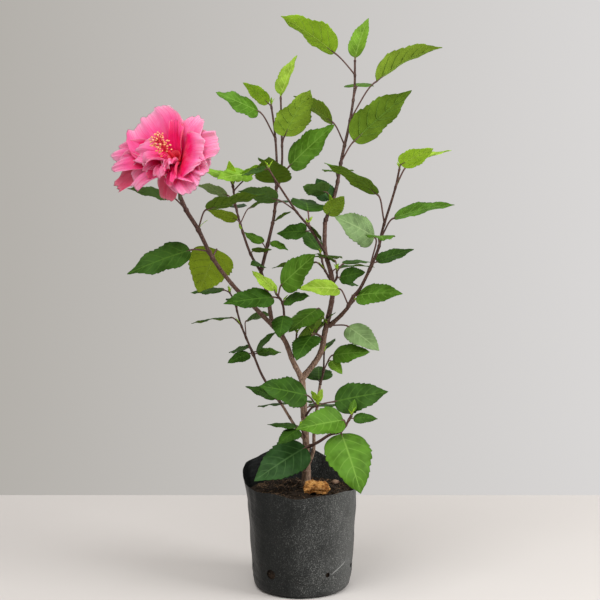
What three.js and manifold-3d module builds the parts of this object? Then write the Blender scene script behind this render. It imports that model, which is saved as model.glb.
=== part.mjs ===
// A young double-flowered hibiscus shrub, rooted in a black film grow bag.
// Millimetres, +Z up. The origin is the middle of the bag's underside, X runs to the plant's right
// and Y to its back. Headings are degrees round Z from +X, so 90 is the back and 270 the front.
// The trunk forks low into two boughs, which carry sprays: a stem with stalked leaves on it.
// Every limb, every spray and the bloom is one closed solid, 0.3 mm clear of what carries it.

import * as THREE from "three";
import { mergeVertices } from "three/addons/utils/BufferGeometryUtils.js";
import Module from "manifold-3d";

const wasm = await Module();
wasm.setup();

// ---- driving dimensions ----

const CLEARANCE = 0.3; // between pieces that meet

const BAG = {
  wall: 1.2,
  floor: 1.5,
  around: 32, // facets round the film
  profile: [[0, 45], [3, 49.5], [12, 51.5], [27, 52.5], [55, 54.5], [84, 56.7]], // height, radius
  mouthRadius: 57.4,
  rimFront: 104,
  rimRise: 30, // how much higher the back of the rim stands
  rimHighHeading: 103,
  rimSharpness: 2.2,
  rimWaves: [[1.3, 5, 0], [0.8, 9, 1]], // depth, waves round the rim, phase
  filmWaves: [[0.7, 3, 1], [0.45, 7, 0]],
  flare: { out: 4.5, above: 88, over: 26 }, // the left of the mouth is bent outwards
  levels: [12, 45, 84], // heights of the rings between the foot and the rim
  foot: { rise: 3, curl: 4.5, inside: 0.93 }, // the fold where the wall turns in to the floor
  hole: { radius: 2.4, large: 5, height: 23, sides: 8 },
  holeHeadings: [190, 234, 301, 350, 36, 87, 139],
  largeHole: 234,
};

const SOIL = {
  level: 101,
  edgeDrop: 4, // how much lower the soil lies along the film
  mound: 4,
  moundTop: 103,
  moundSpread: 14,
  lumps: 0.7,
  rings: 4,
  footInside: 0.92,
};
const FOOT = [5, 6, SOIL.moundTop + CLEARANCE]; // where the trunk leaves the soil
const HUSK_CHIP = {
  at: [15, -31, 102.4],
  size: [29, 18, 13],
  facets: 9,
  levels: [[0, 0.9], [0.35, 1], [0.75, 0.92], [1, 0.62]], // share of the height, share of the width
  seed: 41,
};

const STEM_SIDES = 6;
const TWIG_SIDES = 5;

const LEAF = {
  widest: 0.32, // share of the length where the blade is widest
  baseRound: 0.46,
  tipTaper: 0.867,
  width: [0.56, 0.66], // share of the length
  droop: [6, 22], // degrees that the midrib bends over its length
  fold: [2, 11], // degrees that each half stands up from the midrib
  thick: 1.5, // at the midrib; the edge is sharp
  stations: [0.05, 0.28, 0.58, 0.83],
  stalk: { radius: 0.85, sides: 3, least: 0.45, fullAt: 50, end: 0.6 }, // a small leaf's stalk is thinner
  sunk: 0.16, // share of the blade that the stalk runs into
  sunkRise: 0.7, // how far it follows the midrib's bend there
};

// Young leaves in the leaf axils.
const BUD = { chance: 0.12, size: [7, 11], lift: [40, 70], aside: 25, lean: 55, stalk: 3, below: 0.95 };

const BLOOM = {
  base: [-119, -60, 434], // where the petals spring from
  heading: 241,
  lift: 27,
  calyx: { stalk: 2.4, radius: 6.5, mouth: 5, into: 6, sides: 7 },
  throat: [[-6, 4], [8, 11], [19, 16], [26, 13], [30, 2]], // distance up the axis, radius
  column: { from: 10, length: 50, radius: 2, head: 4.6, headLength: 12, end: 1.5, sides: 6 },
  throatSides: 9,
  thick: 1.6,
  grid: [3, 3], // spans along and across a petal
  petal: {
    foot: 0.07, // width at the foot, as a share of the full width
    widening: 1.15,
    rounded: 0.17, // how much shorter the petal is at its sides
    gathered: 0.1,
    cupped: 4,
    ruffles: 4.1,
    turnSpread: [-6, 6],
    tiltSpread: [-4, 4],
    lengthSpread: [0.92, 1.05],
    widthSpread: [0.9, 1.08],
  },
  seed: 7,
  rings: [
    // Petals: count, length, width, opening from the axis at the foot and at the edge, first heading;
    // "step" opens every second petal wider, so that neighbours pass over each other.
    { count: 6, length: 60, width: 52, foot: 28, edge: 108, first: 0, ruffle: 3, step: 14 },
    { count: 4, length: 50, width: 38, foot: 16, edge: 80, first: 30, ruffle: 3, step: 14 },
    { count: 3, every: 27, length: 72, width: 34, foot: 44, edge: 88, first: 165, ruffle: 3, step: 12 },
  ],
};

// Limbs, by name: what each grows from, the few places that it bends through, its radii.
const LIMBS = {
  trunk: {
    from: null,
    through: [FOOT, [5, 5, 138], [2.5, 3, 183], [0.5, 2, 217]],
    radii: [5.4, 3.7, 3.6, 3.3],
    sides: 9,
  },
  left_bough: {
    from: "trunk",
    through: [
      [0.5, 2, 215], [-9.5, -1, 235], [-19.5, -5, 259],
      [-43, -12, 285], [-68, -20, 311], [-83, -26, 330],
    ],
    radii: [3.0, 2.8, 2.6, 2.4, 2.2, 2.1],
    sides: 8,
  },
  right_leader: {
    from: "trunk",
    through: [
      [0.5, 2, 215], [19, 5, 239.9], [25, 8, 264.9], [32.6, 13, 299.8],
      [32.2, 17, 321.9], [25.2, 23, 350], [25.3, 30, 380.4],
    ],
    radii: [3.1, 3.1, 3.0, 2.7, 2.6, 2.4, 2.3],
    sides: 8,
  },
  middle_bough: {
    from: "left_bough",
    through: [[-30, -8.2, 271], [-33.1, 2, 286.8], [-35.2, 10, 300.7], [-43.5, 24, 326.8]],
    radii: [2.4, 2.3, 2.2, 2.1],
    sides: 7,
  },
  right_bough: {
    from: "right_leader",
    through: [[29, 9, 269.9], [39.9, 1, 280.2], [47.6, -8, 289.5]],
    radii: [2.4, 2.2, 2.0],
    sides: 7,
  },
  low_left_stem: {
    from: "trunk",
    through: [[3.8, 4, 150], [-6.5, 9, 163.8], [-21.1, 15, 186.4]],
    radii: [1.7, 1.6, 1.5],
    sides: 6,
  },
  slender_stem: {
    from: "trunk",
    through: [[5, 5, 119], [12.5, 4, 138.9], [13.5, 6, 161.7], [19.6, 12, 207.3]],
    radii: [1.9, 1.9, 1.8, 1.5],
    sides: 6,
  },
};

// Sprays, by name: the limb that carries each, the course of its stem and of any side twig, and its
// leaves. A leaf's "at" is its place along the stem, from 0 to 1, "stalk" and "lean" are its stalk's
// length and rise, "head" its heading, "turn" how far the blade heads off from the stalk, "lift" the
// blade's rise and "size" its length, and "face" how far its upper side is turned to the front.
const SPRAYS = {
  flowering_spray: {
    from: "left_bough",
    seed: 3,
    stem: [[-83, -26, 330], [-93, -30, 346], [-104.5, -40, 371], [-114.5, -48, 388], [-121, -54, 403]],
    radii: [2.1, 2.2],
    leaves: [
      { at: 0.2, head: 70, lean: 40, stalk: 13, turn: 60, lift: -54, size: 56, face: -40, width: 0.86 },
      { at: 0.28, head: 184, lean: 4, stalk: 19, turn: 4, lift: -21, size: 68, face: 42 },
      { at: 0.5, head: -20, lean: 64, stalk: 22, turn: 8, lift: 14, size: 62, face: -12, droop: 8 },
      { at: 0.79, head: 160, lean: 38, stalk: 24, lift: 9, size: 48, face: -24 },
    ],
  },
  left_spray: {
    from: "middle_bough",
    seed: 11,
    stem: [
      [-43.5, 24, 326.8], [-55.2, 25, 347.5], [-65.2, 27, 376.6],
      [-70.6, 29, 397.2], [-74.1, 32, 420.1],
    ],
    radii: [1.6, 1.0],
    leaves: [
      { at: 0.24, head: -30, lean: 40, stalk: 4, lift: 4, size: 24, face: -20 },
      { at: 0.44, head: 195, lean: 64, stalk: 14, lift: 17, size: 34, face: -28 },
      { at: 0.52, head: 35, lean: 56, stalk: 21, lift: 22, size: 30, face: -24 },
      { at: 0.62, head: 100, lean: 40, stalk: 14, lift: 6, size: 42, face: 0 },
      { at: 0.7, head: 165, lean: 58, stalk: 19, lift: 18, size: 38, face: -34 },
      { at: 0.93, head: 20, lean: 64, stalk: 17, turn: 206, lift: -4, size: 42, face: 26 },
      { at: 0.98, head: 158, lean: 60, stalk: 13, lift: 14, size: 32, face: -30 },
      { at: 1.0, head: 30, lean: 60, stalk: 8, lift: 22, size: 42, face: -24 },
      { at: 1.0, head: 250, lean: 74, stalk: 9, lift: 66, size: 19, face: 0 },
    ],
  },
  middle_spray: {
    from: "middle_bough",
    seed: 19,
    stem: [
      [-43.5, 24, 326.8], [-34.5, 30, 364.3], [-29.5, 34, 388.7], [-27.6, 37, 414.4],
      [-26.7, 40, 439.3], [-28.9, 45, 477], [-33.2, 50, 509],
    ],
    radii: [2.0, 1.1],
    twig: {
      at: 0.5,
      through: [[-21.5, 44, 442.5], [-21.7, 50, 478.2], [-22.9, 56, 518.6]],
      radii: [1.4, 1.1],
    },
    leaves: [
      { at: 0.02, head: 285, lean: 30, stalk: 4, turn: -40, lift: 2, size: 28, face: 30 },
      { at: 0.1, head: 148, lean: 56, stalk: 9, lift: 27, size: 27, face: 24 },
      { at: 0.13, head: -20, lean: 30, stalk: 4, lift: -24, size: 22, face: 34 },
      { at: 0.27, head: 30, lean: 40, stalk: 4, lift: 26, size: 22, face: -28 },
      { at: 0.36, head: 76, lean: 40, stalk: 15, turn: 10, lift: 4, size: 50, face: 0 },
      { at: 0.5, head: -15, lean: 60, stalk: 31, turn: -4, lift: 39, size: 64, face: 40 },
      { at: 0.53, head: 262, lean: 30, stalk: 8, lift: 30, size: 48, face: 0, width: 0.84 },
      { at: 0.64, head: 112, lean: 50, stalk: 7, lift: 10, size: 44, face: -34, width: 0.8 },
      { at: 0.81, head: 200, lean: 54, stalk: 32, turn: 6, lift: 19, size: 52, face: 44, droop: 4 },
      { at: 0.99, head: 190, lean: 50, stalk: 5, lift: 38, size: 36, face: -34 },
      { at: 0.55, on: "twig", head: -40, lean: 70, stalk: 5, lift: 50, size: 60, face: -4 },
      { at: 1.0, on: "twig", head: 30, lean: 76, stalk: 3, lift: 66, size: 46, face: 20 },
    ],
  },
  cross_spray: {
    from: "right_leader",
    seed: 23,
    stem: [[26.2, 22, 346], [9, 8, 373.1], [-5, -1, 390], [-24, -14, 417.9], [-33.9, -20, 433.8]],
    radii: [1.5, 0.9],
    leaves: [
      { at: 0.22, head: 160, lean: 0, stalk: 6, lift: -4, size: 34, face: 44, width: 0.8 },
      { at: 0.26, head: 105, lean: 72, stalk: 18, turn: -10, lift: 18, size: 50, face: -10, width: 0.76 },
      { at: 0.3, head: 20, lean: -20, stalk: 4, turn: 30, lift: -42, size: 26, face: 20 },
      { at: 0.5, head: 190, lean: 32, stalk: 24, turn: 6, lift: 11, size: 43, face: -20 },
      { at: 1.0, head: 150, lean: -10, stalk: 4, lift: -10, size: 30, face: 30 },
    ],
  },
  centre_spray: {
    from: "left_bough",
    seed: 29,
    stem: [[-19.3, -5, 258], [-17.9, -20, 282.3], [-19.8, -28, 296.5], [-25.6, -36, 305.6]],
    radii: [1.5, 1.0],
    leaves: [
      { at: 0.32, head: 262, lean: 20, stalk: 4, lift: -38, size: 34, face: 0 },
      { at: 0.66, head: -50, lean: 30, stalk: 4, turn: 15, lift: 10, size: 32, face: 40 },
      { at: 0.8, head: 205, lean: 12, stalk: 8, lift: -6, size: 54, face: 38 },
      { at: 0.9, head: -40, lean: 70, stalk: 12, lift: 35, size: 55, face: 52, droop: 4 },
      { at: 1.0, head: 128, lean: 50, stalk: 4, turn: 22, lift: 40, size: 34, face: -44 },
    ],
  },
  heart_spray: {
    from: "left_bough",
    seed: 31,
    stem: [[-9.3, -1, 234], [-6.5, -6, 250], [-5, -7, 263]],
    radii: [1.3, 0.9],
    leaves: [
      { at: 0.5, head: 60, lean: 60, stalk: 4, turn: -24, lift: 27, size: 44, face: -48, width: 0.85 },
      { at: 1.0, head: 130, lean: 60, stalk: 3, lift: 40, size: 22, face: -20 },
    ],
  },
  inner_left_spray: {
    from: "right_leader",
    seed: 37,
    stem: [[23.6, 9, 256.8], [16.5, -4, 262.1], [12, -12, 263.2]],
    radii: [1.2, 0.9],
    leaves: [
      { at: 0.6, head: 20, lean: 60, stalk: 8, turn: 20, lift: 34, size: 27, face: -30 },
      { at: 0.9, head: 240, lean: -20, stalk: 4, lift: -36, size: 40, face: 0, width: 0.78 },
      { at: 1.0, head: -62, lean: 60, stalk: 4, lift: 42, size: 28, face: 30 },
    ],
  },
  inner_right_spray: {
    from: "right_leader",
    seed: 43,
    stem: [[32.7, 15.5, 312.8], [37.1, 6, 321], [37, 2, 328]],
    radii: [1.2, 0.9],
    leaves: [
      { at: 0.5, head: -35, lean: 10, stalk: 4, lift: 12, size: 32, face: 34 },
      { at: 0.62, head: 40, lean: -40, stalk: 10, lift: -10, size: 24, face: 24 },
      { at: 0.9, head: 24, lean: 50, stalk: 12, lift: 2, size: 34, face: 10 },
      { at: 1.0, head: 130, lean: 76, stalk: 12, lift: 12, size: 32, face: -26 },
    ],
  },
  top_spray: {
    from: "right_leader",
    seed: 47,
    stem: [
      [25.3, 30, 380.4], [36.6, 38, 412.2], [44.2, 48, 451.9],
      [53, 58, 490.4], [58.7, 66, 528.3], [59.6, 70, 562.1],
    ],
    radii: [2.2, 1.2],
    leaves: [
      { at: 0.02, head: -50, lean: 60, stalk: 5, lift: 36, size: 33, face: -34 },
      { at: 0.13, head: 205, lean: 62, stalk: 14, turn: 25, lift: 6, size: 40, face: -34 },
      { at: 0.27, head: 95, lean: 40, stalk: 18, turn: -12, lift: 2, size: 58, face: 0 },
      { at: 0.37, head: -10, lean: 58, stalk: 27, turn: -4, lift: 38, size: 79, face: -42, fold: 28 },
      { at: 0.47, head: 176, lean: 62, stalk: 29, turn: -16, lift: 34, size: 50, face: -20, fold: 18 },
      { at: 0.62, head: -8, lean: 55, stalk: 50, turn: 6, lift: 27, size: 74, face: -6, droop: 26 },
      { at: 0.74, head: 70, lean: 50, stalk: 22, turn: 10, lift: 12, size: 56, face: 0 },
      { at: 0.9, head: 188, lean: 46, stalk: 33, lift: 32, size: 66, face: -17, fold: 26, width: 0.54 },
      { at: 1.0, head: 42, lean: 76, stalk: 3, lift: 66, size: 48, face: 20, fold: 30 },
    ],
  },
  right_spray: {
    from: "right_bough",
    seed: 53,
    stem: [
      [47.6, -8, 289.5], [53.4, -13, 301.5], [62, -20, 313.5], [77, -36, 348.9],
      [81.5, -43, 370.2], [92.5, -56, 408.6], [96.9, -62, 430.4],
    ],
    radii: [2.0, 1.0],
    leaves: [
      { at: 0.04, head: 190, lean: 56, stalk: 16, turn: 14, lift: 1, size: 46, face: 36 },
      { at: 0.18, head: -30, lean: 10, stalk: 4, lift: 3, size: 52, face: 40 },
      { at: 0.42, head: 200, lean: 82, stalk: 19, turn: 15, lift: 30, size: 50, face: 44 },
      { at: 0.44, head: 12, lean: 20, stalk: 5, lift: 18, size: 42, face: 24 },
      { at: 0.54, head: 262, lean: 40, stalk: 14, turn: 10, lift: -6, size: 48, face: 0 },
      { at: 0.6, head: -10, lean: 57, stalk: 25, lift: 12, size: 62, face: 22 },
      { at: 0.7, head: 188, lean: 75, stalk: 30, turn: 10, lift: 28, size: 64, face: -4, droop: 26 },
      { at: 0.86, head: 12, lean: 58, stalk: 25, turn: 6, lift: 19, size: 46, face: 8, fold: 12 },
      { at: 1.0, head: -60, lean: 70, stalk: 4, turn: 30, lift: 22, size: 38, face: -34 },
    ],
  },
  outer_right_spray: {
    from: "right_leader",
    seed: 59,
    stem: [[27, 9, 267.9], [33.1, 20, 271.7], [45.5, 28, 283.3], [56.9, 30, 296.2]],
    radii: [1.2, 1.0],
    leaves: [
      { at: 0.22, head: -8, lean: -2, stalk: 19, turn: -29, lift: -31, size: 46, face: 36 },
      { at: 1.0, head: 24, lean: 30, stalk: 8, lift: 6, size: 38, face: -30 },
    ],
  },
  slender_spray: {
    from: "slender_stem",
    seed: 61,
    stem: [[19.6, 12, 207.3], [23.3, 20, 220.6], [24.4, 32, 240.1]],
    radii: [1.4, 0.9],
    leaves: [
      { at: 0.06, head: 110, lean: 30, stalk: 5, turn: -20, lift: 14, size: 44, face: 0, width: 0.7 },
      { at: 0.52, head: -30, lean: 56, stalk: 19, lift: 7, size: 42, face: 46 },
      { at: 0.56, head: -40, lean: 46, stalk: 14, turn: -8, lift: -36, size: 22, face: 30 },
      { at: 1.0, head: 60, lean: 40, stalk: 5, lift: 24, size: 24, face: -20 },
    ],
  },
  low_left_spray: {
    from: "low_left_stem",
    seed: 67,
    stem: [
      [-21.1, 15, 186.4], [-40.4, 24, 212.8], [-51.7, 30, 237.6],
      [-65.3, 38, 268.5], [-72.8, 42, 293.7], [-78.1, 44, 303.9],
    ],
    radii: [1.5, 0.9],
    leaves: [
      { at: 0.03, head: 165, lean: 20, stalk: 4, lift: 20, size: 36, face: 20 },
      { at: 0.4, head: 20, lean: 20, stalk: 4, lift: 0, size: 28, face: 30 },
      { at: 0.41, head: 205, lean: 0, stalk: 4, lift: -20, size: 27, face: 32 },
      { at: 0.42, head: -24, lean: 10, stalk: 5, lift: 42, size: 33, face: 36 },
      { at: 0.44, head: 145, lean: 20, stalk: 4, lift: -14, size: 28, face: 24 },
      { at: 0.52, head: 80, lean: 76, stalk: 18, turn: -55, lift: 10, size: 30, face: -24, width: 0.7 },
      { at: 0.6, head: 176, lean: 38, stalk: 14, turn: -8, lift: -9, size: 46, face: -3, fold: 3 },
      { at: 0.72, head: 92, lean: 40, stalk: 14, lift: 4, size: 44, face: 0 },
      { at: 1.0, head: 160, lean: 20, stalk: 8, lift: -5, size: 40, face: 16 },
    ],
  },
  low_twig_spray: {
    from: "trunk",
    seed: 71,
    stem: [[3.3, 3, 174], [10, -8, 185.3], [16.9, -15, 189.6]],
    radii: [1.3, 1.0],
    leaves: [
      { at: 0.9, head: 196, lean: 48, stalk: 15, turn: 8, lift: 13, size: 55, face: 50, width: 0.66 },
      { at: 0.95, head: 290, lean: 66, stalk: 4, turn: -60, lift: 52, size: 17, face: 0 },
      { at: 1.0, head: 60, lean: 70, stalk: 3, lift: 58, size: 16, face: -10 },
      { at: 1.0, head: -12, lean: 14, stalk: 18, lift: 12, size: 57, face: 52, width: 0.64 },
    ],
  },
  low_front_spray: {
    from: "trunk",
    seed: 73,
    stem: [[4.8, 5, 142], [17, -15, 151.5], [28.8, -26, 161], [40.6, -36, 166.7], [50.4, -40, 182.8]],
    radii: [1.7, 1.2],
    leaves: [
      { at: 0.1, head: 222, lean: -6, stalk: 7, turn: -16, lift: -27, size: 66, face: 40, width: 0.66 },
      { at: 0.74, head: -90, lean: -10, stalk: 7, turn: 32, lift: -58, size: 64, face: 10, width: 0.8 },
      { at: 0.86, head: 206, lean: 60, stalk: 6, lift: -6, size: 54, face: 52, fold: 18 },
      { at: 0.95, head: -10, lean: 10, stalk: 4, lift: 0, size: 25, face: 40 },
      { at: 1.0, head: 70, lean: 70, stalk: 4, lift: 50, size: 15, face: 0 },
    ],
  },
  back_spray: {
    from: "right_leader",
    seed: 83,
    stem: [[32.8, 14.5, 306], [31, 34, 318], [25, 52, 330], [21, 64, 346]],
    radii: [1.6, 1.0],
    leaves: [
      { at: 0.45, head: 20, lean: 40, stalk: 12, lift: 2, size: 46, face: 0 },
      { at: 0.62, head: 176, lean: 40, stalk: 14, turn: -10, lift: -8, size: 50, face: -10 },
      { at: 0.85, head: 76, lean: 30, stalk: 12, lift: -4, size: 54, face: 0 },
      { at: 1.0, head: 130, lean: 60, stalk: 5, lift: 40, size: 40, face: 0 },
    ],
  },
  low_back_spray: {
    from: "trunk",
    seed: 89,
    stem: [[3.4, 4, 163], [2, 22, 176], [-3, 40, 184]],
    radii: [1.5, 1.0],
    leaves: [
      { at: 0.6, head: 28, lean: 24, stalk: 10, lift: -6, size: 48, face: 0 },
      { at: 0.8, head: 160, lean: 24, stalk: 10, turn: -16, lift: -10, size: 50, face: 0 },
      { at: 1.0, head: 88, lean: 20, stalk: 5, lift: -12, size: 56, face: 0 },
    ],
  },
  foot_spray: {
    from: "trunk",
    seed: 79,
    stem: [[4.6, 4, 152], [1, -7, 161.2], [-1, -11, 166.3]],
    radii: [1.2, 0.9],
    leaves: [
      { at: 1.0, head: 178, lean: 20, stalk: 4, lift: 2, size: 31, face: 8 },
      { at: 0.9, head: 224, lean: -20, stalk: 4, lift: -22, size: 31, face: 20 },
    ],
  },
};

const COLOURS = {
  film: 0x2b2e30,
  soil: 0x2a1d15,
  husk: 0x9c6428,
  bark: 0x8a6a55,
  redBark: 0x5a3433,
  leaf: 0x2f6b27,
  petal: 0xf0508a,
};

// ---- numbers and directions ----

const radians = (degrees) => (degrees * Math.PI) / 180;
const mix = (low, high, share) => low + (high - low) * share;
const vector = ([x, y, z]) => new THREE.Vector3(x, y, z);

// A seeded source of numbers, the same for the same seed wherever it is worked out.
class Dice {
  constructor(seed) {
    this.state = seed * 7919 + 17;
  }
  between([low, high]) {
    this.state = (this.state * 16807) % 2147483647;
    return mix(low, high, this.state / 2147483647);
  }
}

function direction(heading, lift) {
  const h = radians(heading);
  const l = radians(lift);
  return new THREE.Vector3(Math.cos(l) * Math.cos(h), Math.cos(l) * Math.sin(h), Math.sin(l));
}

// The value at x of a line through [place, value] pairs.
function along(pairs, x) {
  const next = pairs.findIndex(([place]) => place >= x);
  if (next === -1) return pairs[pairs.length - 1][1];
  if (next === 0) return pairs[0][1];
  const [[x0, v0], [x1, v1]] = [pairs[next - 1], pairs[next]];
  return mix(v0, v1, (x - x0) / (x1 - x0));
}

// ---- closed meshes ----

// A solid from points and faces; a face is a fan of point numbers, counter-clockwise from outside.
function solid(points, faces) {
  const corners = faces.flatMap((face) => face.slice(2).flatMap((last, i) => [face[0], face[i + 1], last]));
  const mesh = new wasm.Mesh({
    numProp: 3,
    vertProperties: new Float32Array(points.flatMap((p) => [p.x, p.y, p.z])),
    triVerts: new Uint32Array(corners),
  });
  return new wasm.Manifold(mesh);
}

// A solid from a three.js geometry that is one closed surface.
function solidOf(geometry) {
  const bare = geometry.clone();
  bare.deleteAttribute("normal");
  bare.deleteAttribute("uv");
  const merged = mergeVertices(bare, 1e-4);
  const vertProperties = merged.attributes.position.array;
  const triVerts = new Uint32Array(merged.index.array);
  return new wasm.Manifold(new wasm.Mesh({ numProp: 3, vertProperties, triVerts }));
}

function meshOf(name, made, colour, roughness = 0.7) {
  const { vertProperties, triVerts } = made.getMesh();
  const geometry = new THREE.BufferGeometry();
  geometry.setAttribute("position", new THREE.BufferAttribute(vertProperties, 3));
  geometry.setIndex(new THREE.BufferAttribute(triVerts, 1));
  geometry.computeVertexNormals();
  const material = new THREE.MeshStandardMaterial({ color: colour, roughness, metalness: 0 });
  const mesh = new THREE.Mesh(geometry, material);
  mesh.name = name;
  return mesh;
}

// A closed skin over rings of equal length, from a first to a last ring that are capped flat.
function skin(rings) {
  const n = rings[0].length;
  const around = [...Array(n).keys()];
  const faces = [[...around].reverse(), around.map((i) => (rings.length - 1) * n + i)];
  for (let r = 0; r + 1 < rings.length; r++)
    for (let i = 0; i < n; i++) {
      const j = (i + 1) % n;
      faces.push([r * n + i, r * n + j, (r + 1) * n + j, (r + 1) * n + i]);
    }
  return solid(rings.flat(), faces);
}

// A round tube along points, with a radius at each, whose sides don't twist.
function tube(points, radii, sides) {
  let side = null;
  const rings = points.map((point, i) => {
    const before = points[Math.max(i - 1, 0)];
    const after = points[Math.min(i + 1, points.length - 1)];
    const way = after.clone().sub(before).normalize();
    if (!side) side = new THREE.Vector3(Math.abs(way.x) < 0.9 ? 1 : 0, Math.abs(way.x) < 0.9 ? 0 : 1, 0);
    side = side.clone().addScaledVector(way, -side.dot(way)).normalize();
    const other = way.clone().cross(side);
    return [...Array(sides).keys()].map((k) => {
      const turn = (2 * Math.PI * k) / sides;
      const out = side.clone().multiplyScalar(Math.cos(turn)).addScaledVector(other, Math.sin(turn));
      return point.clone().addScaledVector(out, radii[i]);
    });
  });
  return skin(rings);
}

const course = (through) => new THREE.CatmullRomCurve3(through.map(vector), false, "catmullrom", 0.5);

// A limb's or stem's tube. "grow" makes it thicker all round and longer past its tip, to cut a clearance.
function limbTube(through, radii, sides, spans, grow = 0) {
  const curve = course(through);
  const shares = [...Array(spans + 1).keys()].map((i) => i / spans);
  const points = shares.map((t) => curve.getPoint(t));
  const steps = radii.map((radius, i) => [i / (radii.length - 1), radius]);
  if (grow) points[spans].addScaledVector(curve.getTangent(1), grow);
  return tube(points, shares.map((t) => along(steps, t) + grow), sides);
}

// A spray's stem, thicker all round by "grow".
function stemTube({ stem, radii }, grow = 0) {
  return limbTube(stem, radii, STEM_SIDES, 2 * (stem.length - 1), grow);
}

// ---- leaves ----

// Half the blade's width at a share of its length, as a share of the widest half.
function bladeOutline(s) {
  const { widest, baseRound, tipTaper } = LEAF;
  return Math.pow(s / widest, baseRound) * Math.pow((1 - s) / (1 - widest), tipTaper);
}

// The blade's own axes: along the chord, up out of its upper side, and across to its left.
function bladeAxes(heading, lift, face) {
  const chord = direction(heading, lift);
  const level = new THREE.Vector3(Math.sin(radians(heading)), -Math.cos(radians(heading)), 0);
  if (level.y > 0) level.negate();
  const up = direction(heading, lift + 90).multiplyScalar(Math.cos(radians(face)));
  up.addScaledVector(level, Math.sin(radians(face)));
  return { chord, up, left: up.clone().cross(chord) };
}

// A blade with a midrib that bends over and halves folded up from it, sharp at its edges.
function blade(base, spec, thick) {
  const { size, width, droop, fold } = spec;
  const { chord, up, left } = bladeAxes(spec.heading, spec.lift, spec.face);
  const bend = radians(droop);
  const midrib = (s) => {
    const slope = bend * (0.5 - s);
    const ahead = (Math.sin(bend / 2) - Math.sin(slope)) / bend;
    const above = (Math.cos(slope) - Math.cos(bend / 2)) / bend;
    const out = chord.clone().multiplyScalar(-Math.sin(slope)).addScaledVector(up, Math.cos(slope));
    return { at: base.clone().addScaledVector(chord, ahead * size).addScaledVector(up, above * size), out };
  };
  const points = [base.clone()];
  for (const s of LEAF.stations) {
    const { at, out } = midrib(s);
    const half = (size * width * bladeOutline(s)) / 2;
    const [level, raised] = [half * Math.cos(radians(fold)), half * Math.sin(radians(fold))];
    const edge = (sign) => at.clone().addScaledVector(left, sign * level).addScaledVector(out, raised);
    const face = (sign) => at.clone().addScaledVector(out, (sign * thick) / 2);
    points.push(face(1), edge(-1), face(-1), edge(1));
  }
  points.push(midrib(1).at);
  const last = points.length - 1;
  const faces = [];
  for (let k = 0; k < 4; k++) {
    const l = (k + 1) % 4;
    faces.push([0, 1 + l, 1 + k]);
    for (let r = 1; r < LEAF.stations.length; r++) {
      const near = 4 * (r - 1) + 1;
      faces.push([near + k, near + l, near + 4 + l, near + 4 + k]);
    }
    faces.push([last, last - 4 + k, last - 4 + l]);
  }
  return solid(points, faces);
}

// A leaf with its stalk, from a place on a stem. "grow" is the room kept round it.
function leafSolid(from, spec, grow = 0) {
  const base = from.clone().addScaledVector(direction(spec.head, spec.lean), spec.stalk);
  const heading = spec.head + (spec.turn ?? 0);
  const made = blade(base, { ...spec, heading }, LEAF.thick + 2 * grow);
  const { chord, up } = bladeAxes(heading, spec.lift, spec.face);
  const climb = radians(spec.droop) / 2;
  const sunk = base.clone().addScaledVector(chord, spec.size * LEAF.sunk * Math.cos(climb));
  sunk.addScaledVector(up, spec.size * LEAF.sunk * Math.sin(climb) * LEAF.sunkRise);
  const { radius, sides, least, fullAt, end } = LEAF.stalk;
  const thin = radius * mix(least, 1, Math.min(1, spec.size / fullAt)) + grow;
  return made.add(tube([from, base, sunk], [thin, thin, thin * end], sides));
}

// A spray: its stem and side twig, and each leaf whose own room is free, with a young leaf in some axils.
function spraySolid(spray, carrier, others) {
  const dice = new Dice(spray.seed);
  let made = stemTube(spray);
  const courses = { stem: course(spray.stem) };
  if (spray.twig) {
    const start = courses.stem.getPoint(spray.twig.at).toArray();
    const through = [start, ...spray.twig.through];
    courses.twig = course(through);
    made = made.add(limbTube(through, spray.twig.radii, TWIG_SIDES, 2 * (through.length - 1)));
  }
  const place = (from, spec) => {
    const room = leafSolid(from, spec, CLEARANCE);
    if (room.intersect(others).volume() < 1e-3) made = made.add(leafSolid(from, spec));
  };
  for (const leaf of spray.leaves) {
    const grown = {
      width: dice.between(LEAF.width),
      droop: dice.between(LEAF.droop),
      fold: dice.between(LEAF.fold),
    };
    const bud = { axil: dice.between([0, 1]), size: dice.between(BUD.size), lift: dice.between(BUD.lift) };
    const from = courses[leaf.on ?? "stem"].getPoint(leaf.at);
    place(from, { ...grown, ...leaf });
    if (bud.axil >= BUD.chance || leaf.at >= BUD.below) continue;
    const young = { lean: BUD.lean, stalk: BUD.stalk, lift: bud.lift, size: bud.size, face: 0 };
    place(from, { ...grown, ...young, head: leaf.head + BUD.aside });
  }
  return made.subtract(carrier);
}

// ---- the bloom ----

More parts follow.
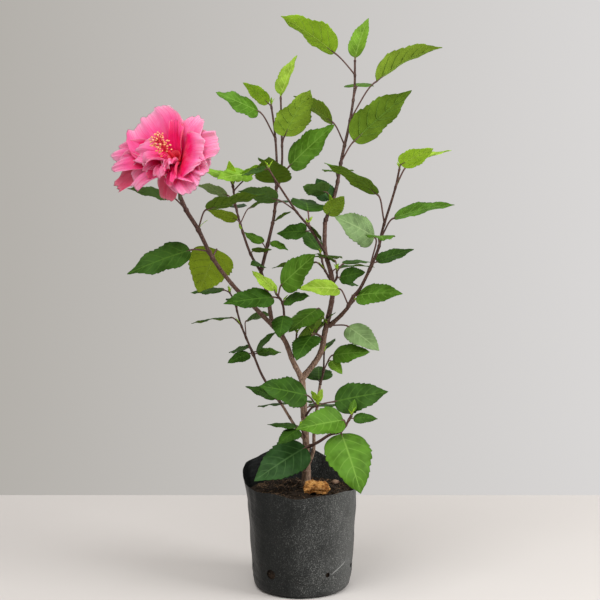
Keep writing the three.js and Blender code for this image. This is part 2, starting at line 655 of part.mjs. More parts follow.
// A petal: a fan that opens away from the flower's axis, ruffled at its edge, and of even thickness.
function petal(foot, axes, ring, index, dice) {
  const [spans, across] = BLOOM.grid;
  const shape = BLOOM.petal;
  const every = ring.every ?? 360 / ring.count;
  const turn = radians(ring.first + every * index + dice.between(shape.turnSpread));
  const length = ring.length * dice.between(shape.lengthSpread);
  const width = ring.width * dice.between(shape.widthSpread);
  const edgeTilt = ring.edge + (index % 2 ? ring.step : -ring.step) / 2 + dice.between(shape.tiltSpread);
  const phase = dice.between([0, 2 * Math.PI]);
  const out = axes.side.clone().multiplyScalar(Math.cos(turn)).addScaledVector(axes.other, Math.sin(turn));
  const sideways = axes.way.clone().cross(out);
  const point = (u, v, layer) => {
    const tilt = radians(mix(ring.foot, edgeTilt, u));
    const mean = radians(mix(ring.foot, edgeTilt, u / 2));
    const reach = length * u * (1 - shape.rounded * v * v);
    const half = (width / 2) * mix(shape.foot, 1, Math.sin((Math.PI / 2) * Math.pow(u, shape.widening)));
    const ruffle = ring.ruffle * u * u * Math.sin(shape.ruffles * v + phase);
    const wave = ruffle - shape.cupped * u * v * v + (layer * BLOOM.thick) / 2;
    const normal = axes.way.clone().multiplyScalar(Math.sin(tilt)).addScaledVector(out, -Math.cos(tilt));
    return foot
      .clone()
      .addScaledVector(axes.way, reach * Math.cos(mean))
      .addScaledVector(out, reach * Math.sin(mean))
      .addScaledVector(sideways, half * v * (1 - shape.gathered * u * v * v))
      .addScaledVector(normal, wave);
  };
  const row = across + 1;
  const sheet = (layer) =>
    [...Array((spans + 1) * row).keys()].map((k) =>
      point(Math.floor(k / row) / spans, (2 * (k % row)) / across - 1, layer),
    );
  const under = (spans + 1) * row;
  const at = (i, j) => i * row + j;
  const faces = [];
  for (let i = 0; i < spans; i++)
    for (let j = 0; j < across; j++) {
      faces.push([at(i, j), at(i + 1, j), at(i + 1, j + 1), at(i, j + 1)]);
      faces.push([under + at(i, j), under + at(i, j + 1), under + at(i + 1, j + 1), under + at(i + 1, j)]);
    }
  const rim = [];
  for (let j = 0; j < across; j++) rim.push(at(0, j));
  for (let i = 0; i < spans; i++) rim.push(at(i, across));
  for (let j = across; j > 0; j--) rim.push(at(spans, j));
  for (let i = spans; i > 0; i--) rim.push(at(i, 0));
  rim.forEach((a, k) => {
    const b = rim[(k + 1) % rim.length];
    faces.push([a, b, under + b, under + a]);
  });
  return solid([...sheet(1), ...sheet(-1)], faces);
}

function bloomSolid(seat) {
  const way = direction(BLOOM.heading, BLOOM.lift);
  const side = direction(BLOOM.heading + 90, 0);
  const axes = { way, side, other: way.clone().cross(side) };
  const dice = new Dice(BLOOM.seed);
  const { calyx, column, throat } = BLOOM;
  const base = vector(BLOOM.base);
  const onAxis = (share) => base.clone().addScaledVector(way, share);
  const neck = [seat, seat.clone().lerp(base, 0.4), seat.clone().lerp(base, 0.8), onAxis(calyx.into)];
  let made = tube(neck, [calyx.stalk, calyx.radius, calyx.radius, calyx.mouth], calyx.sides);
  const throatPlaces = throat.map(([up]) => onAxis(up));
  made = made.add(tube(throatPlaces, throat.map(([, radius]) => radius), BLOOM.throatSides));
  const headStart = column.length - column.headLength;
  const places = [column.from, headStart, headStart + column.headLength / 2, column.length];
  const radii = [column.radius, column.radius, column.head, column.end];
  made = made.add(tube(places.map(onAxis), radii, column.sides));
  for (const ring of BLOOM.rings)
    for (let i = 0; i < ring.count; i++) made = made.add(petal(base, axes, ring, i, dice));
  return made;
}

// ---- the grow bag and its filling ----

// The sum of waves round the bag, each given by its depth, how often it comes round and its phase.
const rippled = (waves, turn) =>
  waves.reduce((sum, [depth, often, phase]) => sum + depth * Math.sin(often * turn + phase), 0);

const rimHeight = (turn) => {
  const rise = Math.pow((1 + Math.cos(turn - radians(BAG.rimHighHeading))) / 2, BAG.rimSharpness);
  return BAG.rimFront + BAG.rimRise * rise + rippled(BAG.rimWaves, turn);
};

// The film's outer radius at a height, with the long waves that the filling pushes into it.
function bagRadius(turn, z) {
  const mouth = [...BAG.profile, [rimHeight(turn), BAG.mouthRadius]];
  const waves = rippled(BAG.filmWaves, turn) * Math.min(1, z / BAG.levels[0]);
  const toLeft = Math.max(0, Math.cos(turn - Math.PI));
  const flare = BAG.flare.out * toLeft * toLeft * Math.max(0, (z - BAG.flare.above) / BAG.flare.over);
  return along(mouth, z) + waves + flare;
}

const bagPoint = (turn, z, inset) => {
  const r = bagRadius(turn, z) - inset;
  return new THREE.Vector3(r * Math.cos(turn), r * Math.sin(turn), z);
};

const turns = [...Array(BAG.around).keys()].map((i) => (2 * Math.PI * i) / BAG.around);

// A ring round the bag at one height, set in from the film's outside.
const bagRing = (z, inset) => turns.map((t) => bagPoint(t, z, inset));

// A ring of the bag's foot, drawn in by a share and laid at a height.
function footRing(z, inset, share) {
  return bagRing(BAG.foot.rise, inset).map((p) => new THREE.Vector3(p.x * share, p.y * share, z));
}

function bagSolid() {
  const rings = [0, BAG.foot.rise, ...BAG.levels].map((z) => bagRing(z, 0));
  rings.push(turns.map((t) => bagPoint(t, rimHeight(t), 0)));
  rings.push(turns.map((t) => bagPoint(t, rimHeight(t), BAG.wall)));
  [...BAG.levels].reverse().forEach((z) => rings.push(bagRing(z, BAG.wall)));
  rings.push(bagRing(BAG.foot.curl, BAG.wall));
  rings.push(footRing(BAG.floor, BAG.wall, BAG.foot.inside));
  let made = skin(rings);
  for (const heading of BAG.holeHeadings) {
    const turn = radians(heading);
    const radius = heading === BAG.largeHole ? BAG.hole.large : BAG.hole.radius;
    const punch = new THREE.CylinderGeometry(radius, radius, 10 * BAG.wall, BAG.hole.sides);
    punch.rotateZ(Math.PI / 2 + turn).translate(...bagPoint(turn, BAG.hole.height, 0).toArray());
    made = made.subtract(solidOf(punch));
  }
  return made;
}

function soilHeight(x, y) {
  const away = (x - FOOT[0]) ** 2 + (y - FOOT[1]) ** 2;
  const near = Math.exp(-away / (2 * SOIL.moundSpread ** 2));
  const lumps = SOIL.lumps * (Math.sin(x / 5 + 1) * Math.cos(y / 6) + Math.sin(x / 9 + y / 7));
  return Math.min(SOIL.moundTop, SOIL.level + SOIL.mound * near + lumps * (1 - near));
}

function soilSolid() {
  const inset = BAG.wall + CLEARANCE;
  const rings = [footRing(BAG.floor + CLEARANCE, inset, SOIL.footInside)];
  BAG.levels.forEach((z) => rings.push(bagRing(z, inset)));
  const edge = bagRing(SOIL.level - SOIL.edgeDrop, inset + CLEARANCE);
  rings.push(edge);
  for (let k = SOIL.rings; k >= 1; k--) {
    const share = k / (SOIL.rings + 0.6);
    const inward = (p) => [mix(FOOT[0], p.x, share), mix(FOOT[1], p.y, share)];
    rings.push(edge.map(inward).map(([x, y]) => new THREE.Vector3(x, y, soilHeight(x, y))));
  }
  return skin(rings);
}

// A chip of coir husk: a lumpy block, flat below, that lies on the soil by the trunk.
function huskChipSolid() {
  const { at, size, facets, levels, seed } = HUSK_CHIP;
  const dice = new Dice(seed);
  const rings = levels.map(([height, spread]) =>
    [...Array(facets).keys()].map((i) => {
      const turn = (2 * Math.PI * i) / facets;
      const r = spread * dice.between([0.84, 1]) * 0.5;
      const lift = height === 0 ? 0 : dice.between([-0.07, 0.07]);
      const [x, y] = [r * size[0] * Math.cos(turn), r * size[1] * Math.sin(turn)];
      return vector(at).add(new THREE.Vector3(x, y, size[2] * (height + lift)));
    }),
  );
  return skin(rings);
}

// ---- the whole plant ----

const plant = new THREE.Group();

const joined = (solids) => solids.reduce((all, one) => all.add(one));

// The same solid made anew from its own mesh, without the record of its joins and cuts.
function settled(made) {
  const { vertProperties, triVerts, mergeFromVert, mergeToVert } = made.getMesh();
  const mesh = new wasm.Mesh({ numProp: 3, vertProperties, triVerts, mergeFromVert, mergeToVert });
  return new wasm.Manifold(mesh);
}

// The one outer body of a solid, without scraps cut off it and with pockets shut in it filled.
const largest = (made) => made.decompose().reduce((a, b) => (b.volume() > a.volume() ? b : a));

const potted = { grow_bag: bagSolid(), potting_soil: soilSolid(), husk_chip: huskChipSolid() };
plant.add(meshOf("grow_bag", potted.grow_bag, COLOURS.film, 0.55));
plant.add(meshOf("potting_soil", potted.potting_soil, COLOURS.soil, 0.95));
plant.add(meshOf("husk_chip", potted.husk_chip, COLOURS.husk, 0.9));

// The limbs, each cut back from those before it. "roomy" holds each limb with its clearance round it.
const roomy = {};
for (const [name, limb] of Object.entries(LIMBS)) {
  const spans = 2 * (limb.through.length - 1);
  const cutters = Object.values(roomy);
  const whole = limbTube(limb.through, limb.radii, limb.sides, spans);
  const made = cutters.length ? whole.subtract(joined(cutters)) : whole;
  roomy[name] = limbTube(limb.through, limb.radii, limb.sides, spans, CLEARANCE);
  plant.add(meshOf(name, made, limb.from ? COLOURS.redBark : COLOURS.bark, 0.75));
}

const bloomSeat = course(SPRAYS.flowering_spray.stem).getPoint(1);
const bloomCutter = stemTube(SPRAYS.flowering_spray, CLEARANCE);
const bloom = largest(settled(bloomSolid(bloomSeat).subtract(bloomCutter)));
plant.add(meshOf("bloom", bloom, COLOURS.petal, 0.6));

let grown = settled(joined([...Object.values(potted), bloom]));
for (const [name, spray] of Object.entries(SPRAYS)) {
  const stems = Object.keys(roomy).filter((stem) => stem !== spray.from);
  const others = joined([grown, ...stems.map((stem) => roomy[stem])]);
  const made = largest(settled(spraySolid(spray, roomy[spray.from], others).subtract(others)));
  plant.add(meshOf(name, made, COLOURS.leaf, 0.5));
  grown = settled(grown.add(made));
  roomy[name] = stemTube(spray, CLEARANCE);
}

export default plant;
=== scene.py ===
"""The looks of a young double-flowered hibiscus shrub in a film grow bag.

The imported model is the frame. Sizes are in millimetres in the row frame, as in the part's source, and
meshes are written in metres. Headings are degrees round Z from +X: 90 is the back, 270 the front.
"""

import logging
import math
from dataclasses import dataclass, field
from enum import Enum
from typing import Callable, Optional, Sequence, Union

import bpy
import numpy as np
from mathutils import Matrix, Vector


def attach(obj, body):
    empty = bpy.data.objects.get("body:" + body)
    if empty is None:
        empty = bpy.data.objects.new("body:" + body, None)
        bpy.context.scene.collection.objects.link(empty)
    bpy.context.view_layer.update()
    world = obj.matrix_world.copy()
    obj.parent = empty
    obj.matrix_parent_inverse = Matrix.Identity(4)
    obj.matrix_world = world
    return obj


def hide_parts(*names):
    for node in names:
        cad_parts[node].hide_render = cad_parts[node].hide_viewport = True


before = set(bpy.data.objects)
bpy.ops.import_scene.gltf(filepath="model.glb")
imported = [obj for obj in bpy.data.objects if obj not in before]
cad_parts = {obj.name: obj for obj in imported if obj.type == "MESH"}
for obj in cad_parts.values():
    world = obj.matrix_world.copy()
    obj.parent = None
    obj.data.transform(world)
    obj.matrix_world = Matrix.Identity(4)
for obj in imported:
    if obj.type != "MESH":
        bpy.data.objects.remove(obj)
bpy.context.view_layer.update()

log = logging.getLogger("hibiscus")

MM = 0.001
BODY = "root"
Point = tuple[float, float, float]
Colour = tuple[float, float, float]


# ---- numbers and directions ----


def mix(low: float, high: float, share: float) -> float:
    """Returns the value a share of the way from low to high."""
    return low + (high - low) * share


def direction(heading: float, lift: float) -> np.ndarray:
    """A unit vector.

    Args:
        heading: degrees round Z from +X.
        lift: degrees above the horizontal.

    Returns:
        The vector, as an array of three numbers.
    """
    h, l = math.radians(heading), math.radians(lift)
    return np.array([math.cos(l) * math.cos(h), math.cos(l) * math.sin(h), math.sin(l)])


def unit(vectors: np.ndarray) -> np.ndarray:
    """Returns the vectors, which lie along the last axis, at length one."""
    return vectors / np.maximum(np.linalg.norm(vectors, axis=-1, keepdims=True), 1e-9)


def smooth(low: float, high: float, value: np.ndarray) -> np.ndarray:
    """Returns 0 below low and 1 above high, with a soft step between them."""
    share = np.clip((value - low) / (high - low), 0, 1)
    return share * share * (3 - 2 * share)


class Dice:
    """The seeded source of numbers that the part's source uses too."""

    def __init__(self, seed: int) -> None:
        """Starts the row of numbers that belongs to a seed."""
        self.state = seed * 7919 + 17

    def between(self, low: float, high: float) -> float:
        """Returns the next number of the row, between low and high."""
        self.state = (self.state * 16807) % 2147483647
        return mix(low, high, self.state / 2147483647)


class Course:
    """A smooth curve through a few places, with the same parameter as in the part's source."""

    def __init__(self, through: Sequence[Point]) -> None:
        """Keeps the places, with one more past either end that sets the end slopes.

        Args:
            through: the places.
        """
        points = np.array(through, float)
        before = 2 * points[0] - points[1]
        after = 2 * points[-1] - points[-2]
        self.points = np.vstack([before, points, after])
        self.spans = len(points) - 1

    def at(self, share: Union[float, np.ndarray]) -> np.ndarray:
        """Places on the curve.

        Args:
            share: one share of the way from the first place to the last, or an array of them.

        Returns:
            One point, or a row of points.
        """
        place = np.clip(np.asarray(share, float), 0, 1) * self.spans
        span = np.minimum(place.astype(int), self.spans - 1)
        w = (place - span)[..., None]
        p0, p1, p2, p3 = (self.points[span + i] for i in range(4))
        t0, t1 = 0.5 * (p2 - p0), 0.5 * (p3 - p1)
        return p1 + t0 * w + (3 * (p2 - p1) - 2 * t0 - t1) * w**2 + (2 * (p1 - p2) + t0 + t1) * w**3


# ---- shader trees ----


class Wire:
    """A number or colour socket; arithmetic on a number socket adds Math nodes."""

    def __init__(self, board: "Board", socket: bpy.types.NodeSocket) -> None:
        """Wraps an output socket of the board's tree."""
        self.board = board
        self.socket = socket

    def _with(self, operation: str, first: "Value", second: "Value") -> "Wire":
        """Returns the output of a Math node on two values."""
        return self.board.node("ShaderNodeMath", {"operation": operation}, {0: first, 1: second})

    def __add__(self, other: "Value") -> "Wire":
        """Returns self + other."""
        return self._with("ADD", self, other)

    def __radd__(self, other: "Value") -> "Wire":
        """Returns other + self."""
        return self._with("ADD", other, self)

    def __sub__(self, other: "Value") -> "Wire":
        """Returns self - other."""
        return self._with("SUBTRACT", self, other)

    def __rsub__(self, other: "Value") -> "Wire":
        """Returns other - self."""
        return self._with("SUBTRACT", other, self)

    def __mul__(self, other: "Value") -> "Wire":
        """Returns self * other."""
        return self._with("MULTIPLY", self, other)

    def __rmul__(self, other: "Value") -> "Wire":
        """Returns other * self."""
        return self._with("MULTIPLY", other, self)

    def size(self) -> "Wire":
        """Returns the value without its sign."""
        return self._with("ABSOLUTE", self, 0.0)

    def fraction(self) -> "Wire":
        """Returns the part of the value after the point."""
        return self._with("FRACT", self, 0.0)

    def over(self, other: "Value") -> "Wire":
        """Returns the larger of this value and the other."""
        return self._with("MAXIMUM", self, other)

    def step(self, low: float, high: float) -> "Wire":
        """Returns a soft step of this value, 0 below low and 1 above high."""
        settings = {"interpolation_type": "SMOOTHSTEP"}
        return self.board.node("ShaderNodeMapRange", settings, {0: self, 1: low, 2: high})


Value = Union[float, Colour, Wire]


class Board:
    """A material's node tree: one Principled surface and what feeds it."""

    def __init__(self, name: str) -> None:
        """Makes the material with a bare Principled surface.

        Args:
            name: its name.
        """
        self.material = bpy.data.materials.new(name)
        self.material.use_nodes = True
        self.tree = self.material.node_tree
        self.tree.nodes.clear()
        self.surface = self.tree.nodes.new("ShaderNodeBsdfPrincipled")
        output = self.tree.nodes.new("ShaderNodeOutputMaterial")
        self.tree.links.new(self.surface.outputs[0], output.inputs["Surface"])

    def plug(self, node: bpy.types.Node, sockets: dict[Union[int, str], Value]) -> None:
        """Sets or links a node's inputs.

        Args:
            node: the node.
            sockets: a value or a wire for each input, by name or number.
        """
        for name, value in sockets.items():
            if isinstance(value, Wire):
                self.tree.links.new(value.socket, node.inputs[name])
            elif isinstance(value, tuple) and node.inputs[name].type == "RGBA":
                node.inputs[name].default_value = (*value, 1.0)
            else:
                node.inputs[name].default_value = value

    def node(self, kind: str, settings: dict, sockets: dict, out: Union[int, str] = 0) -> Wire:
        """Adds a node.

        Args:
            kind: the node's type.
            settings: its options, set first; "stops" holds a ramp's places and colours.
            sockets: its inputs' values or wires.
            out: the output that is wanted.

        Returns:
            That output.
        """
        node = self.tree.nodes.new(kind)
        for name, setting in settings.items():
            if name == "stops":
                elements = node.color_ramp.elements
                while len(elements) < len(setting):
                    elements.new(0.5)
                for element, (place, colour) in zip(elements, setting):
                    element.position = place
                    element.color = (*colour, 1.0)
            else:
                setattr(node, name, setting)
        self.plug(node, sockets)
        return Wire(self, node.outputs[out])

    def place(self, stretch: Point = (1, 1, 1), shift: Point = (0, 0, 0), kind: str = "Object") -> Wire:
        """Returns coordinates, scaled by stretch and moved by shift, in metres or in the piece's UV."""
        source = self.node("ShaderNodeTexCoord", {}, {}, kind)
        return self.node("ShaderNodeMapping", {}, {"Vector": source, "Scale": stretch, "Location": shift})

    def noise(self, size: float, stretch: Point = (1, 1, 1), detail: float = 3, kind: str = "Object") -> Wire:
        """A noise pattern.

        Args:
            size: how wide its patches are, in millimetres, or in shares of the UV map.
            stretch: how much longer they are along each axis.
            detail: how many finer layers it has.
            kind: the coordinates that it follows.

        Returns:
            The pattern, about 0.5 on the whole.
        """
        unit_size = size * MM if kind == "Object" else size
        scale = tuple(1 / (unit_size * share) for share in stretch)
        sockets = {"Vector": self.place(scale, kind=kind), "Scale": 1.0, "Detail": detail, "Roughness": 0.6}
        return self.node("ShaderNodeTexNoise", {}, sockets)

    def blend(self, share: Value, low: Value, high: Value) -> Wire:
        """Returns the colour a share of the way from low to high."""
        return self.node("ShaderNodeMix", {"data_type": "RGBA"}, {0: share, 6: low, 7: high}, 2)

    def relief(self, height: Wire, depth: float, strength: float = 1.0) -> Wire:
        """Returns a normal bent by a height pattern that is depth millimetres deep."""
        sockets = {"Height": height, "Distance": depth * MM, "Strength": strength}
        return self.node("ShaderNodeBump", {}, sockets)

    def finish(self, **sockets: Value) -> bpy.types.Material:
        """Sets the surface's inputs, by names with _ for spaces, and returns the material."""
        self.plug(self.surface, {name.replace("_", " "): value for name, value in sockets.items()})
        return self.material


@dataclass(frozen=True)
class LeafFinish:
    """A leaf: a waxy green upper skin with paler veins, mottled between them, and a duller, paler back whose
    colour is raised further as painted light shining through the blade.

    It follows the blade's own UV map: U counts the side veins, and V runs across from 0 to 1, or from
    1.5 to 2.5 on its back.
    """

    name: str
    colour: Colour
    vein: Colour
    back: Colour
    roughness: float = 0.4

    def material(self) -> bpy.types.Material:
        """Lays out the finish's nodes.

        Returns:
            The material.
        """
        board = Board(self.name)
        along = board.node("ShaderNodeSeparateXYZ", {}, {0: board.place(kind="UV")}, 0)
        across = board.node("ShaderNodeSeparateXYZ", {}, {0: board.place(kind="UV")}, 1)
        behind = across.step(1.2, 1.3)
        aside = (across - behind * 1.5 - 0.5).size()
        ridge = (along.fraction() - 0.5).size()
        veins = ridge.step(0.40, 0.5) * aside.step(0.5, 0.2)
        midrib = aside.step(0.035, 0.0)
        patches = board.noise(16, detail=2).step(0.32, 0.68)
        net = board.noise(0.9, detail=2)
        dark = tuple(0.68 * channel for channel in self.colour)
        pale = tuple(min(1.0, 1.2 * channel + 0.008) for channel in self.colour)
        shady = tuple(0.8 * channel for channel in self.back)
        tone = patches * 0.9 + net * 0.1
        lines = (veins * 0.62).over(midrib)
        upper = board.blend(lines, board.blend(tone, dark, pale), self.vein)
        # The back's colour carries painted light shining through the blade.
        lower = board.blend(lines * 0.5, board.blend(tone, shady, self.back), self.vein)
        return board.finish(
            Base_Color=board.blend(behind, upper, lower),
            Roughness=self.roughness - 0.08 + net * 0.16 + behind * 0.2,
            Specular_IOR_Level=0.09,
            Normal=board.relief(net, 0.035, 0.6),
        )


@dataclass(frozen=True)
class StemFinish:
    """A thin, finely streaked skin, such as a leaf stalk's."""

    name: str
    colour: Colour
    roughness: float = 0.5

    def material(self) -> bpy.types.Material:
        """Lays out the finish's nodes.

        Returns:
            The material.
        """
        board = Board(self.name)
        streaks = board.noise(0.6, (1, 1, 6), 2)
        dark = tuple(0.62 * channel for channel in self.colour)
        pale = tuple(min(1.0, 1.3 * channel + 0.01) for channel in self.colour)
        return board.finish(
            Base_Color=board.blend(streaks.step(0.25, 0.75), dark, pale),
            Roughness=self.roughness,
            Normal=board.relief(streaks, 0.12),
        )


@dataclass(frozen=True)
class BarkFinish:
    """Bark: fine lengthwise cracks, patches of another tone and small pale lenticels.

    It turns from its old tones to its young ones between two heights.
    """

    name: str
    old: tuple[Colour, Colour]
    young: tuple[Colour, Colour]
    crack: Colour
    fleck: Colour
    turns: tuple[float, float]
    roughness: float = 0.7

    def material(self) -> bpy.types.Material:
        """Lays out the finish's nodes.

        Returns:
            The material.
        """
        board = Board(self.name)
        patches = board.noise(7, (1, 1, 2.4), 3).step(0.35, 0.65)
        cracks = board.noise(0.8, (1, 1, 7), 4)
        flecks = board.node(
            "ShaderNodeTexVoronoi",
            {"feature": "F1"},
            {"Vector": board.place((620, 620, 420)), "Scale": 1.0, "Randomness": 1.0},
        )
        height = board.node("ShaderNodeSeparateXYZ", {}, {0: board.place()}, 2)
        age = (height + patches * 0.02).step(*(turn * MM for turn in self.turns))
        ground = board.blend(age, board.blend(patches, *self.old), board.blend(patches, *self.young))
        cracked = board.blend(cracks.step(0.62, 0.42) * 0.8, ground, self.crack)
        return board.finish(
            Base_Color=board.blend(flecks.step(0.24, 0.12) * 0.7, cracked, self.fleck),
            Roughness=self.roughness,
            Specular_IOR_Level=0.3,
            Normal=board.relief(cracks + flecks.step(0.3, 0.1) * 0.4, 0.5),
        )


@dataclass(frozen=True)
class PetalFinish:
    """A petal, coloured from its foot to its edge, with finer darker rays along it.

    It follows the petal's own UV map: U runs from foot to edge, and V is over 1 on its back.
    """

    name: str
    throat: Colour
    flush: Colour
    body: Colour
    edge: Colour
    back: Colour
    rays: float = 0.5
    flushed: float = 0.46

    def material(self) -> bpy.types.Material:
        """Lays out the finish's nodes.

        Returns:
            The material.
        """
        board = Board(self.name)
        along = board.node("ShaderNodeSeparateXYZ", {}, {0: board.place(kind="UV")}, 0)
        across = board.node("ShaderNodeSeparateXYZ", {}, {0: board.place(kind="UV")}, 1)
        behind = across.step(1.2, 1.3)
        stops = [
            (0.0, self.throat),
            (self.flushed * 0.55, self.throat),
            (self.flushed, self.flush),
            (self.flushed * 0.4 + 0.5, self.body),
            (1.0, self.edge),
        ]
        ground = board.node("ShaderNodeValToRGB", {"stops": stops}, {0: along})
        rays = board.noise(0.03, (26, 1, 1), 2, "UV").step(0.42, 0.66)
        clouds = board.noise(0.3, (1, 1, 1), 2, "UV").step(0.4, 0.7)
        rayed = board.blend(rays * self.rays, ground, self.flush)
        upper = board.blend(clouds * 0.18, rayed, self.edge)
        lower = board.blend(rays * 0.4, self.back, self.flush)
        return board.finish(
            Base_Color=board.blend(behind * 0.85, upper, lower),
            Roughness=0.65,
            Specular_IOR_Level=0.14,
            Subsurface_Weight=0.32,
            Subsurface_Radius=(1.0, 0.5, 0.6),
            Subsurface_Scale=0.004,
            Normal=board.relief(rays, 0.16),
        )


@dataclass(frozen=True)
class FilmFinish:
    """Black polythene film, dusted by dry soil in fine specks, with a pale scratch by a drain hole. The dust
    is kept to the right side and a pale haze grows towards the right: painted light from that side.
    """

    name: str = "dusty_film_painted_light"
    film: Colour = (0.006, 0.0072, 0.007)
    dust: Colour = (0.25, 0.255, 0.245)
    scratch_slope: float = 0.64
    scratch_foot: float = 0.0035
    scratch_dust: float = 0.9

    def material(self) -> bpy.types.Material:
        """Lays out the finish's nodes.

        Returns:
            The material.
        """
        board = Board(self.name)
        specks = board.noise(0.8, (1, 1, 1.3), 4)
        streaks = board.noise(2.0, (1, 1, 3.5), 3)
        patches = board.noise(26, (1, 1, 1.4), 3)
        across, depth, up = (board.node("ShaderNodeSeparateXYZ", {}, {0: board.place()}, k) for k in range(3))
        off_line = up - across * self.scratch_slope - self.scratch_foot + (specks - 0.5) * 0.003
        line = off_line.size().step(0.0009, 0.0002)
        scratch = line * across.step(0.028, 0.034) * across.step(0.047, 0.042) * depth.step(0.01, -0.01)
        # Dust patches kept to the right side and almost gone on the left: dust, and also painted light from
        # the right.
        dust_and_painted_light = patches.step(0.12, 0.66) * across.step(-0.046, 0.022)
        grit = specks.step(0.53, 0.69) * 0.9 + streaks.step(0.55, 0.75) * 0.25
        dusted = (grit * (dust_and_painted_light * 0.94 + 0.06)).over(scratch * self.scratch_dust)
        # A pale haze that grows towards the right: painted light from that side, with a little dust haze.
        dust_haze_and_painted_light = dust_and_painted_light * 0.1 + across.step(0.01, 0.055) * 0.16
        creases = board.noise(11, (1, 1, 0.5), 3)
        return board.finish(
            Base_Color=board.blend(dusted + dust_haze_and_painted_light, self.film, self.dust),
            Roughness=0.42 + dusted * 0.4 + dust_and_painted_light * 0.15,
            Specular_IOR_Level=0.16,
            Normal=board.relief(creases + specks * 0.1, 1.8, 0.6),
        )


@dataclass(frozen=True)
class EarthFinish:
    """Crumbs, fibres and chips of potting mix, in a ground tone with darker and paler grains."""

    name: str
    ground: Colour
    dark: Colour
    pale: Colour
    grain: float = 1.4
    depth: float = 1.2

    def material(self) -> bpy.types.Material:
        """Lays out the finish's nodes.

        Returns:
            The material.
        """
        board = Board(self.name)
        grains = board.noise(self.grain, detail=4)
        clods = board.noise(self.grain * 5, detail=2)
        toned = board.blend(clods.step(0.35, 0.65), self.dark, self.ground)
        return board.finish(
            Base_Color=board.blend(grains.step(0.56, 0.74), toned, self.pale),
            Roughness=0.93,
            Specular_IOR_Level=0.25,
            Normal=board.relief(grains, self.depth),
        )




# ---- meshes ----


def choose(piece: bpy.types.Object) -> None:
    """Makes a piece the only selected one, and the active one.

    Args:
        piece: the piece.
    """
    bpy.ops.object.select_all(action="DESELECT")
    piece.select_set(True)
    bpy.context.view_layer.objects.active = piece


def pick(piece: bpy.types.Object, wanted: Callable[[Vector], bool]) -> None:
    """Selects some vertices, and the edges and faces between them.

    Args:
        piece: the piece.
        wanted: says of a vertex's place whether it is wanted.
    """
    chosen = {vertex.index for vertex in piece.data.vertices if wanted(vertex.co)}
    for vertex in piece.data.vertices:
        vertex.select = vertex.index in chosen
    for part in (*piece.data.edges, *piece.data.polygons):
        part.select = chosen.issuperset(part.vertices)


def rename(piece: bpy.types.Object, name: str) -> bpy.types.Object:
    """Gives a piece and its mesh their name.

    Args:
        piece: the piece.
        name: the name.

    Returns:
        The piece.
    """
    piece.name = name
    piece.data.name = name
    return piece


def apply_modifiers(piece: bpy.types.Object) -> None:
    """Applies all of a piece's modifiers, from the first to the last.

    Args:
        piece: the piece.
    """
    choose(piece)
    for modifier in list(piece.modifiers):
        bpy.ops.object.modifier_apply(modifier=modifier.name)


def dress(piece: bpy.types.Object, material: bpy.types.Material, slot: str, *nodes: str) -> None:
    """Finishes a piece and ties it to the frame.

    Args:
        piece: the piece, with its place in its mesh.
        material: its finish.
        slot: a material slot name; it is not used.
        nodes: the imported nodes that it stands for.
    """
    piece.data.materials.clear()
    piece.data.materials.append(material)
    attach(piece, BODY)
    if nodes:
        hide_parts(*nodes)
    piece.data.calc_loop_triangles()
    log.info("%s: %d triangles", piece.name, len(piece.data.loop_triangles))


